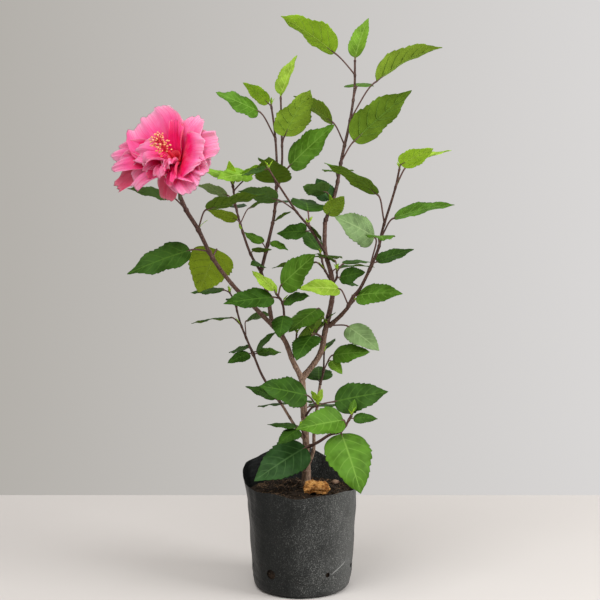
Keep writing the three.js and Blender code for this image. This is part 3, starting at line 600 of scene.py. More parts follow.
class Heap:
    """Many small shapes of one kind, gathered from arrays into one mesh."""

    def __init__(self) -> None:
        """Starts empty."""
        self.points: list[np.ndarray] = []
        self.faces: list[np.ndarray] = []
        self.marks: list[np.ndarray] = []
        self.count = 0

    def sheet(
        self,
        grid: np.ndarray,
        flip: bool = False,
        closed: bool = False,
        marks: Optional[np.ndarray] = None,
    ) -> None:
        """Adds a surface over a grid of points.

        Args:
            grid: rows by columns by three, in millimetres.
            flip: turns its faces round.
            closed: joins the last column to the first.
            marks: rows by columns by two, its UV map.
        """
        rows, columns = grid.shape[:2]
        number = np.arange(rows * columns).reshape(rows, columns) + self.count
        if closed:
            number = np.hstack([number, number[:, :1]])
        corners = [number[:-1, :-1], number[:-1, 1:], number[1:, 1:], number[1:, :-1]]
        faces = np.stack(corners[::-1] if flip else corners, -1).reshape(-1, 4)
        self.points.append(grid.reshape(-1, 3))
        self.faces.append(faces)
        self.marks.append(np.zeros((rows * columns, 2)) if marks is None else marks.reshape(-1, 2))
        self.count += rows * columns

    def tube(self, path: np.ndarray, radii: np.ndarray, sides: int) -> None:
        """Adds a round tube with drawn-in ends.

        Args:
            path: its points, in millimetres.
            radii: the radius at each.
            sides: how many sides it has.
        """
        ways = unit(np.gradient(path, axis=0))
        across = np.cross(ways[0], [1.0, 0.0, 0.0] if abs(ways[0][0]) < 0.9 else [0.0, 1.0, 0.0])
        turns = 2 * math.pi * np.arange(sides) / sides
        rings = []
        for point, way, radius in zip(path, ways, radii):
            across = unit(across - way * np.dot(across, way))
            other = np.cross(way, across)
            rings.append(point + radius * (np.outer(np.cos(turns), across) + np.outer(np.sin(turns), other)))
        first = np.repeat(path[:1], sides, 0)
        last = np.repeat(path[-1:] + ways[-1] * radii[-1] * 0.6, sides, 0)
        self.sheet(np.array([first, *rings, last]), closed=True)

    def lump(self, centre: np.ndarray, size: Sequence[float], dice: Dice, rough: float = 0.25) -> None:
        """Adds a small uneven stone or crumb, of a few dozen faces.

        Args:
            centre: its middle, in millimetres.
            size: its three lengths.
            dice: where its shape comes from.
            rough: how uneven it is.
        """
        rings, sides = 5, 7
        spin = dice.between(0, 6.28)
        rows = []
        for i in range(rings):
            rise = math.pi * (i + 0.02) / (rings - 0.96)
            turn = spin + 2 * math.pi * np.arange(sides) / sides
            swell = np.array([dice.between(1 - rough, 1 + rough) for _ in range(sides)])
            if i in (0, rings - 1):
                swell[:] = 1
            level = np.stack([np.cos(turn), np.sin(turn), 0 * turn], -1) * math.sin(rise)
            ring = level - np.array([0.0, 0.0, math.cos(rise)])
            rows.append(centre + ring * swell[:, None] * np.array(size) / 2)
        self.sheet(np.array(rows), closed=True)

    def piece(self, name: str, weld: float = 0.0) -> bpy.types.Object:
        """Makes the mesh.

        Args:
            name: the piece's name.
            weld: how near points are merged, in millimetres.

        Returns:
            The new object, smooth all over.
        """
        mesh = bpy.data.meshes.new(name)
        points = np.vstack(self.points) * MM
        faces = np.vstack(self.faces)
        mesh.vertices.add(len(points))
        mesh.vertices.foreach_set("co", points.ravel())
        mesh.loops.add(faces.size)
        mesh.loops.foreach_set("vertex_index", faces.ravel().astype(np.int32))
        mesh.polygons.add(len(faces))
        mesh.polygons.foreach_set("loop_start", np.arange(0, faces.size, 4, dtype=np.int32))
        mesh.update(calc_edges=True)
        uv = mesh.uv_layers.new(name="surface")
        uv.data.foreach_set("uv", np.vstack(self.marks)[faces.ravel()].ravel())
        piece = bpy.data.objects.new(name, mesh)
        bpy.context.scene.collection.objects.link(piece)
        choose(piece)
        if weld:
            bpy.ops.object.mode_set(mode="EDIT")
            bpy.ops.mesh.select_all(action="SELECT")
            bpy.ops.mesh.remove_doubles(threshold=weld * MM)
            bpy.ops.object.mode_set(mode="OBJECT")
        bpy.ops.object.shade_smooth()
        return piece


# ---- leaves and stems ----


class Tint(Enum):
    """How old a leaf is, and how the light takes it: one tint is a greyish green that stands for a painted
    sheen.
    """

    YOUNG = "young"
    FRESH = "fresh"
    OLIVE = "olive"
    LUSH = "lush"
    GROWN = "grown"
    DEEP = "deep"
    # A greyish green for leaves that shine: painted sheen, not the leaf's own colour.
    PAINTED_SHEEN = "painted_sheen"


# Each tint's back colour is paler than its upper skin and brighter still, most of all on young leaves:
# painted light shining through the blade.
LEAF_FINISHES = {
    Tint.YOUNG: LeafFinish("young_leaf", (0.28, 0.45, 0.035), (0.44, 0.60, 0.11), (0.36, 0.62, 0.035), 0.58),
    Tint.FRESH: LeafFinish("fresh_leaf", (0.15, 0.30, 0.018), (0.27, 0.44, 0.07), (0.24, 0.38, 0.03), 0.56),
    Tint.OLIVE: LeafFinish("olive_leaf", (0.18, 0.30, 0.012), (0.27, 0.38, 0.05), (0.23, 0.34, 0.018), 0.58),
    Tint.LUSH: LeafFinish("lush_leaf", (0.068, 0.170, 0.008), (0.15, 0.29, 0.04), (0.13, 0.23, 0.015), 0.54),
    Tint.GROWN: LeafFinish("grown_leaf", (0.026, 0.08, 0.003), (0.07, 0.16, 0.018), (0.09, 0.16, 0.01), 0.54),
    Tint.DEEP: LeafFinish("deep_leaf", (0.022, 0.072, 0.013), (0.07, 0.155, 0.045), (0.08, 0.16, 0.03), 0.48),
    # The sheen tint: a painted sheen in a greyish green.
    Tint.PAINTED_SHEEN: LeafFinish("painted_sheen_leaf", (0.17, 0.27, 0.10), (0.28, 0.40, 0.17), (0.2, 0.3, 0.1), 0.45),
}
GREEN_STALK = StemFinish("green_stalk", (0.15, 0.14, 0.035), 0.5)
RED_STALK = StemFinish("red_stalk", (0.105, 0.042, 0.032), 0.45)


@dataclass
class Leaf:
    """One stalked leaf of a spray, told as in the part's source, and its tint.

    It leaves the stem or twig at a share of its length. Its stalk has a heading, a lean above the
    horizontal and a length. Its blade has a lift, a size, a roll towards the front and a turn from the
    stalk's heading. A width, droop or fold that is given here goes before the seeded one.
    """

    at: float
    head: float
    lean: float
    stalk: float
    lift: float
    size: float
    face: float
    turn: float = 0
    on: str = "stem"
    width: Optional[float] = None
    droop: Optional[float] = None
    fold: Optional[float] = None
    tint: Optional[Tint] = None


@dataclass
class Twig:
    """A side twig that leaves a spray's stem."""

    at: float
    through: list[Point]
    radii: tuple[float, float]


@dataclass
class Spray:
    """One mass of leaves: a stem, perhaps a side twig, and stalked leaves along them."""

    seed: int
    stem: list[Point]
    radii: tuple[float, float]
    leaves: list[Leaf]
    twig: Optional[Twig] = None
    tint: Tint = Tint.GROWN


@dataclass
class Blade:
    """A leaf's blade: its rule, its own axes, and the relief of its veins."""

    base: np.ndarray
    heading: float
    lift: float
    face: float
    size: float
    width: float
    droop: float
    fold: float
    camber: float
    wave: float
    phase: float
    pairs: float = 6.5
    reach: float = 0.26
    first: float = 0.36
    widest: float = 0.32
    base_round: float = 0.46
    tip_taper: float = 0.98
    teeth: int = 13
    tooth: float = 0.1
    waves: float = 2.3
    other_side: float = 1.7
    bulge: float = 0.012
    half_thick: float = 0.16
    midrib_width: float = 1.4
    vein_width: float = 0.8
    rib_height: float = 0.17

    def __post_init__(self) -> None:
        """Works out the chord and the directions up and left from it."""
        self.chord = direction(self.heading, self.lift)
        h = math.radians(self.heading)
        level = np.array([math.sin(h), -math.cos(h), 0.0])
        if level[1] > 0:
            level = -level
        face = math.radians(self.face)
        self.up = direction(self.heading, self.lift + 90) * math.cos(face) + level * math.sin(face)
        self.left = np.cross(self.up, self.chord)

    def outline(self, s: np.ndarray) -> np.ndarray:
        """The blade's outline.

        Args:
            s: shares of the length.

        Returns:
            Half the width there, as a share of the widest half.
        """
        ends = np.clip(s, 1e-4, 1)
        return (ends / self.widest) ** self.base_round * (
            np.clip(1 - s, 0, 1) / (1 - self.widest)
        ) ** self.tip_taper

    def spine(self, s: np.ndarray) -> tuple[np.ndarray, np.ndarray]:
        """The arched midrib.

        Args:
            s: shares of the length.

        Returns:
            Its points there, in millimetres, and its upward directions.
        """
        bend = math.radians(self.droop)
        slope = (bend * (0.5 - s))[..., None]
        ahead = (math.sin(bend / 2) - np.sin(slope)) / bend
        above = (np.cos(slope) - math.cos(bend / 2)) / bend
        point = self.base + self.size * (self.chord * ahead + self.up * above)
        return point, -self.chord * np.sin(slope) + self.up * np.cos(slope)

    def count_veins(self, s: np.ndarray, t: np.ndarray) -> np.ndarray:
        """Returns how many side veins lie below a place on the blade: a whole number on a vein."""
        return (s - self.reach * np.abs(t) ** 1.2) * self.pairs + self.first + 2

    def surface(self, s: np.ndarray, t: np.ndarray, rise: Union[float, np.ndarray] = 0.0) -> np.ndarray:
        """Points of the blade.

        Args:
            s: shares of the length.
            t: places across, from -1 on the right edge to 1 on the left edge.
            rise: how far above the middle of the blade's thickness they lie, in millimetres.

        Returns:
            The points, in millimetres.
        """
        point, out = self.spine(s)
        spread = np.abs(t)
        teeth = (self.teeth * s) % 1.0
        window = smooth(0.16, 0.34, s) * (1 - smooth(0.9, 1.0, s))
        bite = 1 + self.tooth * (teeth - 0.6) * window * spread**7
        half = self.size * self.width * self.outline(s) / 2 * bite
        fold = math.radians(self.fold)
        quilt = np.abs(np.sin(math.pi * self.count_veins(s, t))) ** 0.8 - 0.6
        relief = self.bulge * self.size * quilt * smooth(0, 0.25, spread) * (1 - 0.5 * spread**4)
        side = np.sign(t) * self.other_side
        waves = self.wave * spread**2.5 * np.sin(2 * math.pi * self.waves * s + self.phase + side)
        above = half * spread * math.sin(fold) - self.camber * half * spread**2
        above = above + relief + waves * self.size * window + rise * (1 - spread**6)
        level = half * t * math.cos(fold)
        return point + self.left * level[..., None] + out * np.asarray(above)[..., None]

    def skins(self, heap: Heap, rows: int, columns: int) -> None:
        """Adds the blade's upper and lower skin, which meet at the margin.

        Args:
            heap: where they go.
            rows: how many rows of points run along the blade.
            columns: how many run across it.
        """
        s = np.linspace(0, 1, rows)[:, None] * np.ones(columns)
        t = np.sin(np.linspace(-0.5 * math.pi, 0.5 * math.pi, columns)) * np.ones((rows, 1))
        marks = np.stack([self.count_veins(s, t), (t + 1) / 2], -1)
        heap.sheet(self.surface(s, t, self.half_thick), flip=True, marks=marks)
        heap.sheet(self.surface(s, t, -self.half_thick), marks=marks + [0, 1.5])

    def rib(self, heap: Heap, s: np.ndarray, t: np.ndarray, wide: np.ndarray) -> None:
        """Adds one vein: a slim ridge along a path on the blade's lower side.

        Args:
            heap: where it goes.
            s: the path's shares of the length.
            t: its places across.
            wide: its width along it, in millimetres.
        """
        path = self.surface(s, t, -self.half_thick)
        way = unit(np.gradient(path, axis=0))
        out = self.spine(s)[1]
        aside = unit(np.cross(way, out)) * (wide / 2)[:, None]
        foot, crest = path + out * 0.1, path - out * (wide * self.rib_height)[:, None]
        rings = np.stack([foot + aside, foot - aside, crest], 1)
        rings[0], rings[-1] = foot[0], foot[-1]
        marks = np.zeros((*rings.shape[:2], 2)) + [0, 2.0]
        heap.sheet(rings, closed=True, marks=marks)

    def ribs(self, heap: Heap) -> None:
        """Adds the midrib and the side veins, which stand out on the lower side.

        Args:
            heap: where they go.
        """
        steps = np.linspace(0, 1, 13)
        scale = self.size / 60
        self.rib(heap, 0.02 + 0.94 * steps, 0 * steps, scale * (self.midrib_width - 1.1 * steps))
        for k in range(1, int(self.pairs) + 1):
            start = (k - self.first) / self.pairs
            for side in (-1, 1):
                reach = np.linspace(0.01, 0.86, 8)
                s = start + self.reach * reach**1.2
                if s[-1] < 0.965:
                    self.rib(heap, s, side * reach, scale * (self.vein_width - 0.6 * reach))


@dataclass
class Foliage:
    """All the leaf masses: stems, stalks and veined blades, grown by the rule of the part's source."""

    sprays: dict[str, Spray]
    leaf_width: tuple[float, float] = (0.56, 0.66)
    leaf_droop: tuple[float, float] = (6, 22)
    leaf_fold: tuple[float, float] = (2, 11)
    bud_chance: float = 0.12
    bud_size: tuple[float, float] = (7, 11)
    bud_lift: tuple[float, float] = (40, 70)
    bud_aside: float = 25
    bud_lean: float = 55
    bud_stalk: float = 3
    bud_below: float = 0.95
    shoot_leaves: int = 3
    shoot_lift: tuple[float, float] = (48, 76)
    shoot_size: tuple[float, float] = (5, 9)
    shoot_lean: float = 60
    shoot_stalk: float = 1.2
    node_swelling: float = 0.34
    node_scar: float = 0.07
    stalk_radius: float = 0.85
    green_below: float = 25
    rows: int = 66
    columns: int = 11
    blades: dict[Tint, Heap] = field(default_factory=lambda: {tint: Heap() for tint in Tint})
    green: Heap = field(default_factory=Heap)
    red: Heap = field(default_factory=Heap)
    stems: Heap = field(default_factory=Heap)

    def stem(self, course: Course, radii: tuple[float, float], nodes: Sequence[float]) -> None:
        """Adds a woody stem with a swelling and a leaf scar at each place that a leaf leaves it.

        Args:
            course: its course.
            radii: its radii at its foot and at its tip, in millimetres.
            nodes: the shares of its length at which the leaves leave it.
        """
        length = np.linalg.norm(np.diff(course.at(np.linspace(0, 1, 40)), axis=0), axis=1).sum()
        share = np.linspace(0, 1, max(12, int(length / 1.6)))
        radius = radii[0] + (radii[1] - radii[0]) * share
        for node in nodes:
            away = (share - node) * length
            swelling = self.node_swelling * np.exp(-((away + 0.6) ** 2) / 2.6)
            radius = radius * (1 + swelling - self.node_scar * np.exp(-((away - 2.2) ** 2) / 2))
        self.stems.tube(course.at(share), radius, 10)

    def leaf(self, start: np.ndarray, leaf: Leaf, grown: dict[str, float], dice: Dice, tint: Tint) -> None:
        """Adds one leaf: its stalk, its blade and its veins.

        Args:
            start: where its stalk leaves the stem.
            leaf: its places and sizes.
            grown: the width, droop and fold that the seeded rule gave it.
            dice: the source of its finer variation.
            tint: its colour.
        """
        base = start + direction(leaf.head, leaf.lean) * leaf.stalk
        blade = Blade(
            base=base,
            heading=leaf.head + leaf.turn,
            lift=leaf.lift,
            face=leaf.face,
            size=leaf.size,
            width=leaf.width or grown["width"],
            droop=leaf.droop or grown["droop"],
            fold=leaf.fold or grown["fold"],
            camber=dice.between(0.02, 0.2),
            wave=dice.between(0.012, 0.03),
            phase=dice.between(0, 6.28),
            teeth=int(dice.between(10, 13)),
            first=dice.between(0.3, 0.42),
        )
        fine = min(1.0, 0.35 + leaf.size / 60)
        rows, columns = int(self.rows * fine), int(self.columns * fine) | 1
        blade.skins(self.blades[tint], rows, columns)
        blade.ribs(self.blades[tint])
        self.stalk(start, leaf, blade)

    def stalk(self, start: np.ndarray, leaf: Leaf, blade: Blade) -> None:
        """Adds a leaf's stalk: it leaves the stem steeply, arches over and runs under the midrib.

        Args:
            start: where it leaves the stem.
            leaf: the leaf's places and sizes.
            blade: the leaf's blade.
        """
        thin = self.stalk_radius * mix(0.45, 1, min(1, leaf.size / 50))
        way = direction(leaf.head, leaf.lean)
        into = blade.surface(np.array([0.05, 0.16]), np.array([0.0, 0.0]), -0.3)
        first = start + way * leaf.stalk * 0.45 + np.array([0, 0, 0.06 * leaf.stalk])
        second = blade.base - blade.chord * leaf.stalk * 0.22
        u = np.linspace(0, 1, 12)[:, None]
        rise = (1 - u) ** 3 * start + 3 * u * (1 - u) ** 2 * first
        path = np.vstack([rise + 3 * u**2 * (1 - u) * second + u**3 * blade.base, into])
        along = np.linspace(0, 1, len(path))
        foot = 0.35 * np.exp(-((along / 0.06) ** 2))
        joint = 0.25 * np.exp(-(((along - 0.82) / 0.07) ** 2))
        radii = thin * (1 + foot + joint) * (1 - 0.75 * smooth(0.86, 1.0, along))
        heap = self.green if leaf.size < self.green_below else self.red
        heap.tube(path, radii, 8)

    def shoot(self, tip: np.ndarray, way: np.ndarray, dice: Dice) -> None:
        """Adds the growing tip of a stem: a few small folded leaves round a pointed bud.

        Args:
            tip: the stem's tip.
            way: the stem's direction there.
            dice: where the leaves' shapes come from.
        """
        grown = {"width": 0.4, "droop": 18, "fold": 34}
        for _ in range(self.shoot_leaves):
            heading = dice.between(0, 360)
            lift, size = dice.between(*self.shoot_lift), dice.between(*self.shoot_size)
            small = Leaf(1, heading, self.shoot_lean, self.shoot_stalk, lift, size, 0)
            self.leaf(tip, small, grown, dice, Tint.YOUNG)
        self.green.tube(np.array([tip, tip + way * 2.6, tip + way * 4.2]), np.array([0.9, 0.9, 0.3]), 6)

    def grow(self) -> None:
        """Grows every spray in turn."""
        for spray in self.sprays.values():
            dice, finer = Dice(spray.seed), Dice(spray.seed + 1000)
            courses = {"stem": Course(spray.stem)}
            self.stem(courses["stem"], spray.radii, [leaf.at for leaf in spray.leaves if leaf.on == "stem"])
            if spray.twig:
                start = tuple(courses["stem"].at(spray.twig.at))
                courses["twig"] = Course([start, *spray.twig.through])
                places = [leaf.at for leaf in spray.leaves if leaf.on == "twig"]
                self.stem(courses["twig"], spray.twig.radii, places)
            for leaf in spray.leaves:
                grown = {
                    "width": dice.between(*self.leaf_width),
                    "droop": dice.between(*self.leaf_droop),
                    "fold": dice.between(*self.leaf_fold),
                }
                axil, size = dice.between(0, 1), dice.between(*self.bud_size)
                lift = dice.between(*self.bud_lift)
                start = courses[leaf.on].at(leaf.at)
                self.leaf(start, leaf, grown, finer, leaf.tint or spray.tint)
                if axil < self.bud_chance and leaf.at < self.bud_below:
                    aside = leaf.head + self.bud_aside
                    young = Leaf(leaf.at, aside, self.bud_lean, self.bud_stalk, lift, size, 0)
                    self.leaf(start, young, grown, finer, Tint.YOUNG)
            for name, course in courses.items():
                if name == "stem" and spray is self.sprays["flowering_spray"]:
                    continue
                end = course.at(np.array([0.97, 1.0]))
                self.shoot(end[1], unit(end[1] - end[0]), finer)

    def build(self) -> None:
        """Grows the masses, then makes and dresses a piece for each kind."""
        self.grow()
        names = list(self.sprays)
        stems = self.stems.piece("spray_stems")
        dress(stems, YOUNG_BARK.material(), "bough_bark", *names)
        for tint, heap in self.blades.items():
            dress(heap.piece(f"{tint.value}_leaves", 1e-3), LEAF_FINISHES[tint].material(), "foliage")
        dress(self.green.piece("green_stalks"), GREEN_STALK.material(), "foliage")
        dress(self.red.piece("red_stalks"), RED_STALK.material(), "foliage")


# ---- trunk and boughs ----

TAN = ((0.30, 0.19, 0.13), (0.42, 0.29, 0.21))
RED_BROWN = ((0.088, 0.038, 0.030), (0.135, 0.068, 0.049))
DARK_CRACK = (0.035, 0.015, 0.012)
YOUNG_BARK = BarkFinish("young_bark", RED_BROWN, RED_BROWN, DARK_CRACK, (0.30, 0.22, 0.17), (0, 100), 0.6)
BOUGH_BARK = BarkFinish("bough_bark", TAN, RED_BROWN, (0.075, 0.037, 0.027), (0.40, 0.31, 0.25), (215, 310))
OLD_BARK = BarkFinish("old_bark", TAN, TAN, (0.12, 0.065, 0.045), (0.55, 0.45, 0.37), (0, 100), 0.8)


@dataclass
class Limb:
    """The trunk or a bough: one tapering limb along a few places."""

    through: list[Point]
    radii: list[float]
    collar: float = 0.22
    collar_length: float = 5.0
    scars: float = 13.0
    scar_height: float = 0.12
    step: float = 1.1

    def curve(self, name: str) -> bpy.types.Object:
        """Draws the limb as a path with its own radii and turns it into a mesh.

        Args:
            name: the new object's name.

        Returns:
            The limb as a closed mesh.
        """
        course = Course(self.through)
        length = np.linalg.norm(np.diff(course.at(np.linspace(0, 1, 60)), axis=0), axis=1).sum()
        share = np.linspace(0, 1, int(length / self.step) + 8)
        radius = np.interp(share, np.linspace(0, 1, len(self.radii)), self.radii)
        away = share * length
        radius = radius * (1 + self.collar * np.exp(-((away / self.collar_length) ** 2)))
        scar = np.exp(-(((away % self.scars) - self.scars / 2) ** 2) / 1.2)
        radius = radius * (1 + self.scar_height * scar)
        bpy.ops.curve.primitive_nurbs_path_add()
        limb = rename(bpy.context.active_object, name)
        limb.location = (0, 0, 0)
        limb.data.splines.clear()
        spline = limb.data.splines.new("POLY")
        spline.points.add(len(share) - 1)
        for point, place, size in zip(spline.points, course.at(share) * MM, radius):
            point.co = (*place, 1.0)
            point.radius = size
        limb.data.bevel_depth = MM
        limb.data.bevel_resolution = 4
        limb.data.use_fill_caps = True
        choose(limb)
        bpy.ops.object.convert(target="MESH")
        return bpy.context.active_object


@dataclass
class Wood:
    """The trunk and boughs, grown together at their forks, with the bark's relief."""

    name: str
    limbs: dict[str, Limb]
    finish: BarkFinish
    slot: str
    relief: float
    ridge_sizes: tuple[tuple[float, float], ...] = ((2.0, 1.0), (0.9, 0.5))
    voxel: float = 0.42

    def ridges(self, size: float) -> bpy.types.Texture:
        """The pattern of the bark's ridges.

        Args:
            size: how wide its patches are, in millimetres.

        Returns:
            The pattern.
        """
        texture = bpy.data.textures.new(f"{self.name}_ridges", "CLOUDS")
        texture.noise_scale = size * MM
        texture.noise_depth = 2
        return texture

    def build(self) -> None:
        """Joins the limbs, blends their forks, raises the bark and dresses the piece."""
        parts = [limb.curve(f"{self.name}_{part}") for part, limb in self.limbs.items()]
        choose(parts[0])
        for part in parts:
            part.select_set(True)
        bpy.ops.object.join()
        wood = rename(bpy.context.active_object, self.name)
        along = bpy.data.objects.new("bark_grain", None)
        along.scale = (1, 1, 5)
        bpy.context.scene.collection.objects.link(along)
        blend = wood.modifiers.new("blend", "REMESH")
        blend.mode = "VOXEL"
        blend.voxel_size = self.voxel * MM
        soften = wood.modifiers.new("soften", "SMOOTH")
        soften.factor, soften.iterations = 0.5, 5
        for size, share in self.ridge_sizes:
            raised = wood.modifiers.new("bark", "DISPLACE")
            raised.texture = self.ridges(size)
            raised.texture_coords = "OBJECT"
            raised.texture_coords_object = along
            raised.strength = self.relief * share * MM
            raised.mid_level = 0.5
        apply_modifiers(wood)
        bpy.data.objects.remove(along)
        bpy.ops.object.shade_smooth()
        dress(wood, self.finish.material(), self.slot, *self.limbs)


# ---- bloom ----


class Kind(Enum):
    """Which of the bloom's petals one is."""

    PALE = "pale"
    FLUSHED = "flushed"
    DEEP = "deep"
    # Petals seen from their backs, in a darker pink that is partly painted shade.
    DUSKY_SHADED = "dusky_shaded"


THROAT = (0.72, 0.002, 0.022)
DEEP_PINK = (0.86, 0.005, 0.12)
ROSE = (0.88, 0.08, 0.27)
PALE_PINK = (0.92, 0.33, 0.54)
# The petals' darker back pink, darkened further as painted shade where the backs face away from the light.
DUSKY_SHADED_PINK = (0.66, 0.06, 0.13)

PETAL_FINISHES = {
    Kind.PALE: PetalFinish("pale_petal", THROAT, DEEP_PINK, ROSE, PALE_PINK, ROSE, 0.42, 0.42),
    Kind.FLUSHED: PetalFinish("flushed_petal", THROAT, DEEP_PINK, ROSE, PALE_PINK, ROSE, 0.4, 0.68),
    Kind.DEEP: PetalFinish("deep_petal", THROAT, DEEP_PINK, DEEP_PINK, ROSE, DUSKY_SHADED_PINK, 0.5, 0.5),
    Kind.DUSKY_SHADED: PetalFinish("dusky_shaded_petal", THROAT, DUSKY_SHADED_PINK, DUSKY_SHADED_PINK, DUSKY_SHADED_PINK, DUSKY_SHADED_PINK, 0.35),
}
COLUMN = StemFinish("flower_column", (0.66, 0.02, 0.05), 0.5)
# The anthers' pale peach grains are partly paler pollen and partly painted highlights.
ANTHERS = EarthFinish("anthers", (0.93, 0.54, 0.24), (0.85, 0.28, 0.12), (0.98, 0.80, 0.55), 0.5, 0.3)
CALYX = StemFinish("calyx_skin", (0.055, 0.075, 0.022), 0.55)


@dataclass
class Petal:
    """One petal, told by the middle of its edge.

    Places are in millimetres from the petals' foot: to the right and up as seen from the front, and up
    the flower's axis. Angles are in degrees.
    """

    right: float
    up: float
    rise: float
    width: float
    kind: Kind = Kind.PALE
    curl: float = 20
    twist: float = 0
    cup: float = 0.14
    ruffle: float = 2.4
    waves: float = 2.6
    rounded: float = 0.42
    foot: float = 2.0


@dataclass
class Bloom:
    """The double flower: layered ruffled petals, a bristling column and its green calyx."""

    petals: list[Petal]
    seat: Point
    base: Point = (-119, -60, 434)
    heading: float = 241
    lift: float = 27
    seed: int = 7
    rows: int = 36
    columns: int = 55
    half_thick: float = 0.14
    foot_pull: float = 0.36
    edge_pull: float = 0.4
    foot_width: float = 0.24
    frill: float = 0.26
    column: tuple[float, float] = (8, 46)
    column_radius: float = 1.7
    column_bend: float = 1.6
    stamens: int = 54
    stamens_from: float = 24
    stamen_length: tuple[float, float] = (5, 9.5)
    stamen_turn: float = 2.399
    stigmas: int = 5
    stigma_size: Point = (2.1, 2.1, 2.1)
    throat: tuple[tuple[float, float], ...] = (
        (0, 0), (2, 3.4), (9, 5.2), (15, 8), (15.2, 7.6), (9, 4.7), (3, 2.8), (3, 0)
    )
    cup: tuple[Point, ...] = (
        (-9, 1.6, 0), (-8, 3.6, 0), (-5, 4.8, 0), (-2, 5.2, 0), (1, 5.4, 0), (3, 5.6, 2)
    )
    lobes: int = 5
    bracts: int = 7

    def __post_init__(self) -> None:
        """Works out the flower's axis."""
        self.axis = direction(self.heading, self.lift)
        self.dice = Dice(self.seed)

    def surface(
        self, petal: Petal, s: np.ndarray, t: np.ndarray, phase: float
    ) -> tuple[np.ndarray, np.ndarray]:
        """Points of a petal, and its upward directions there.

        Args:
            petal: the petal.
            s: shares of the way from its foot to its edge.
            t: places across, from -1 to 1.
            phase: where its ruffles start.

        Returns:
            The points, in millimetres, and the directions.
        """
        depth = (petal.rise - self.axis[0] * petal.right - self.axis[2] * petal.up) / self.axis[1]
        tip = np.array([petal.right, depth, petal.up])
        outward = unit(tip - self.axis * np.dot(tip, self.axis))
        first = self.axis * 1.0 + outward * petal.foot
        length = np.linalg.norm(tip)
        curl = math.radians(petal.curl)
        end = outward * math.cos(curl) - self.axis * math.sin(curl)
        second = first + (self.axis * 0.8 + outward * 0.2) * self.foot_pull * length
        third = tip - end * self.edge_pull * length
        notch = 0.02 * np.sin(7 * t + 2.2 * phase) + 0.013 * np.sin(19 * t + phase)
        corner = 1 - np.sqrt(1 - 0.99 * np.abs(t) ** 2.3)
        reach = (s * (1 - petal.rounded * corner + notch * s**4))[..., None]
        rest = 1 - reach
        spine = rest**3 * first + 3 * reach * rest**2 * second + 3 * reach**2 * rest * third + reach**3 * tip
        midway, late = 2 * reach * rest * (third - second), reach**2 * (tip - third)
        way = unit(rest**2 * (second - first) + midway + late)
        twist = math.radians(petal.twist) * smooth(0.25, 1, s)[..., None]
        level = np.cross(self.axis, outward)
        facing = unit(np.cross(way, level))
        across = level * np.cos(twist) + facing * np.sin(twist)
        facing = unit(np.cross(way, across))
        spread = self.foot_width + (1 - self.foot_width) * smooth(-0.05, 0.8, s)
        half = petal.width / 2 * spread * (1 - 0.06 * smooth(0.8, 1.0, s))
        turns = math.pi * petal.waves * t
        folds = np.sin(turns + phase) * smooth(0.2, 1.0, s)
        folds = folds + 0.4 * np.sin(2.3 * turns - phase) * smooth(0.5, 1.0, s)
        frill = self.frill * np.sin(4.1 * turns + 3 * phase) * smooth(0.74, 1.0, s)
        height = petal.cup * half * t**2 + petal.ruffle * (folds + frill)
        pull = 0.25 * petal.ruffle * np.cos(turns + phase) * smooth(0.4, 1.0, s)
        level_out = (half * t * (1 - 0.1 * petal.ruffle / 3) + pull)[..., None]
        return self.base + spine + across * level_out + facing * height[..., None], facing

    def petal(self, heap: Heap, petal: Petal) -> None:
        """Adds a petal as a thin closed body.

        Args:
            heap: where it goes.
            petal: the petal.
        """
        s = np.linspace(0, 1, self.rows)[:, None] * np.ones(self.columns)
        t = np.sin(np.linspace(-0.5 * math.pi, 0.5 * math.pi, self.columns)) * np.ones((self.rows, 1))
        points, facing = self.surface(petal, s, t, 0.7 * petal.right + 1.3 * petal.up)
        thick = (self.half_thick * (1 - t**8) * (1 - s**14))[..., None]
        marks = np.stack([s, (t + 1) / 2 * petal.width / 40], -1)
        marks[..., 1] *= 0.9
        heap.sheet(points + facing * thick, flip=True, marks=marks)
        heap.sheet(points - facing * thick, marks=marks + [0, 1.5])

    def corolla(self) -> None:
        """Makes the petals, one piece for each kind."""
        heaps = {kind: Heap() for kind in Kind}
        for petal in self.petals:
            self.petal(heaps[petal.kind], petal)
        for kind, heap in heaps.items():
            nodes = ["bloom"] if kind is Kind.PALE else []
            piece = heap.piece(f"{kind.value}_petals", 1e-3)
            dress(piece, PETAL_FINISHES[kind].material(), "bloom_petals", *nodes)

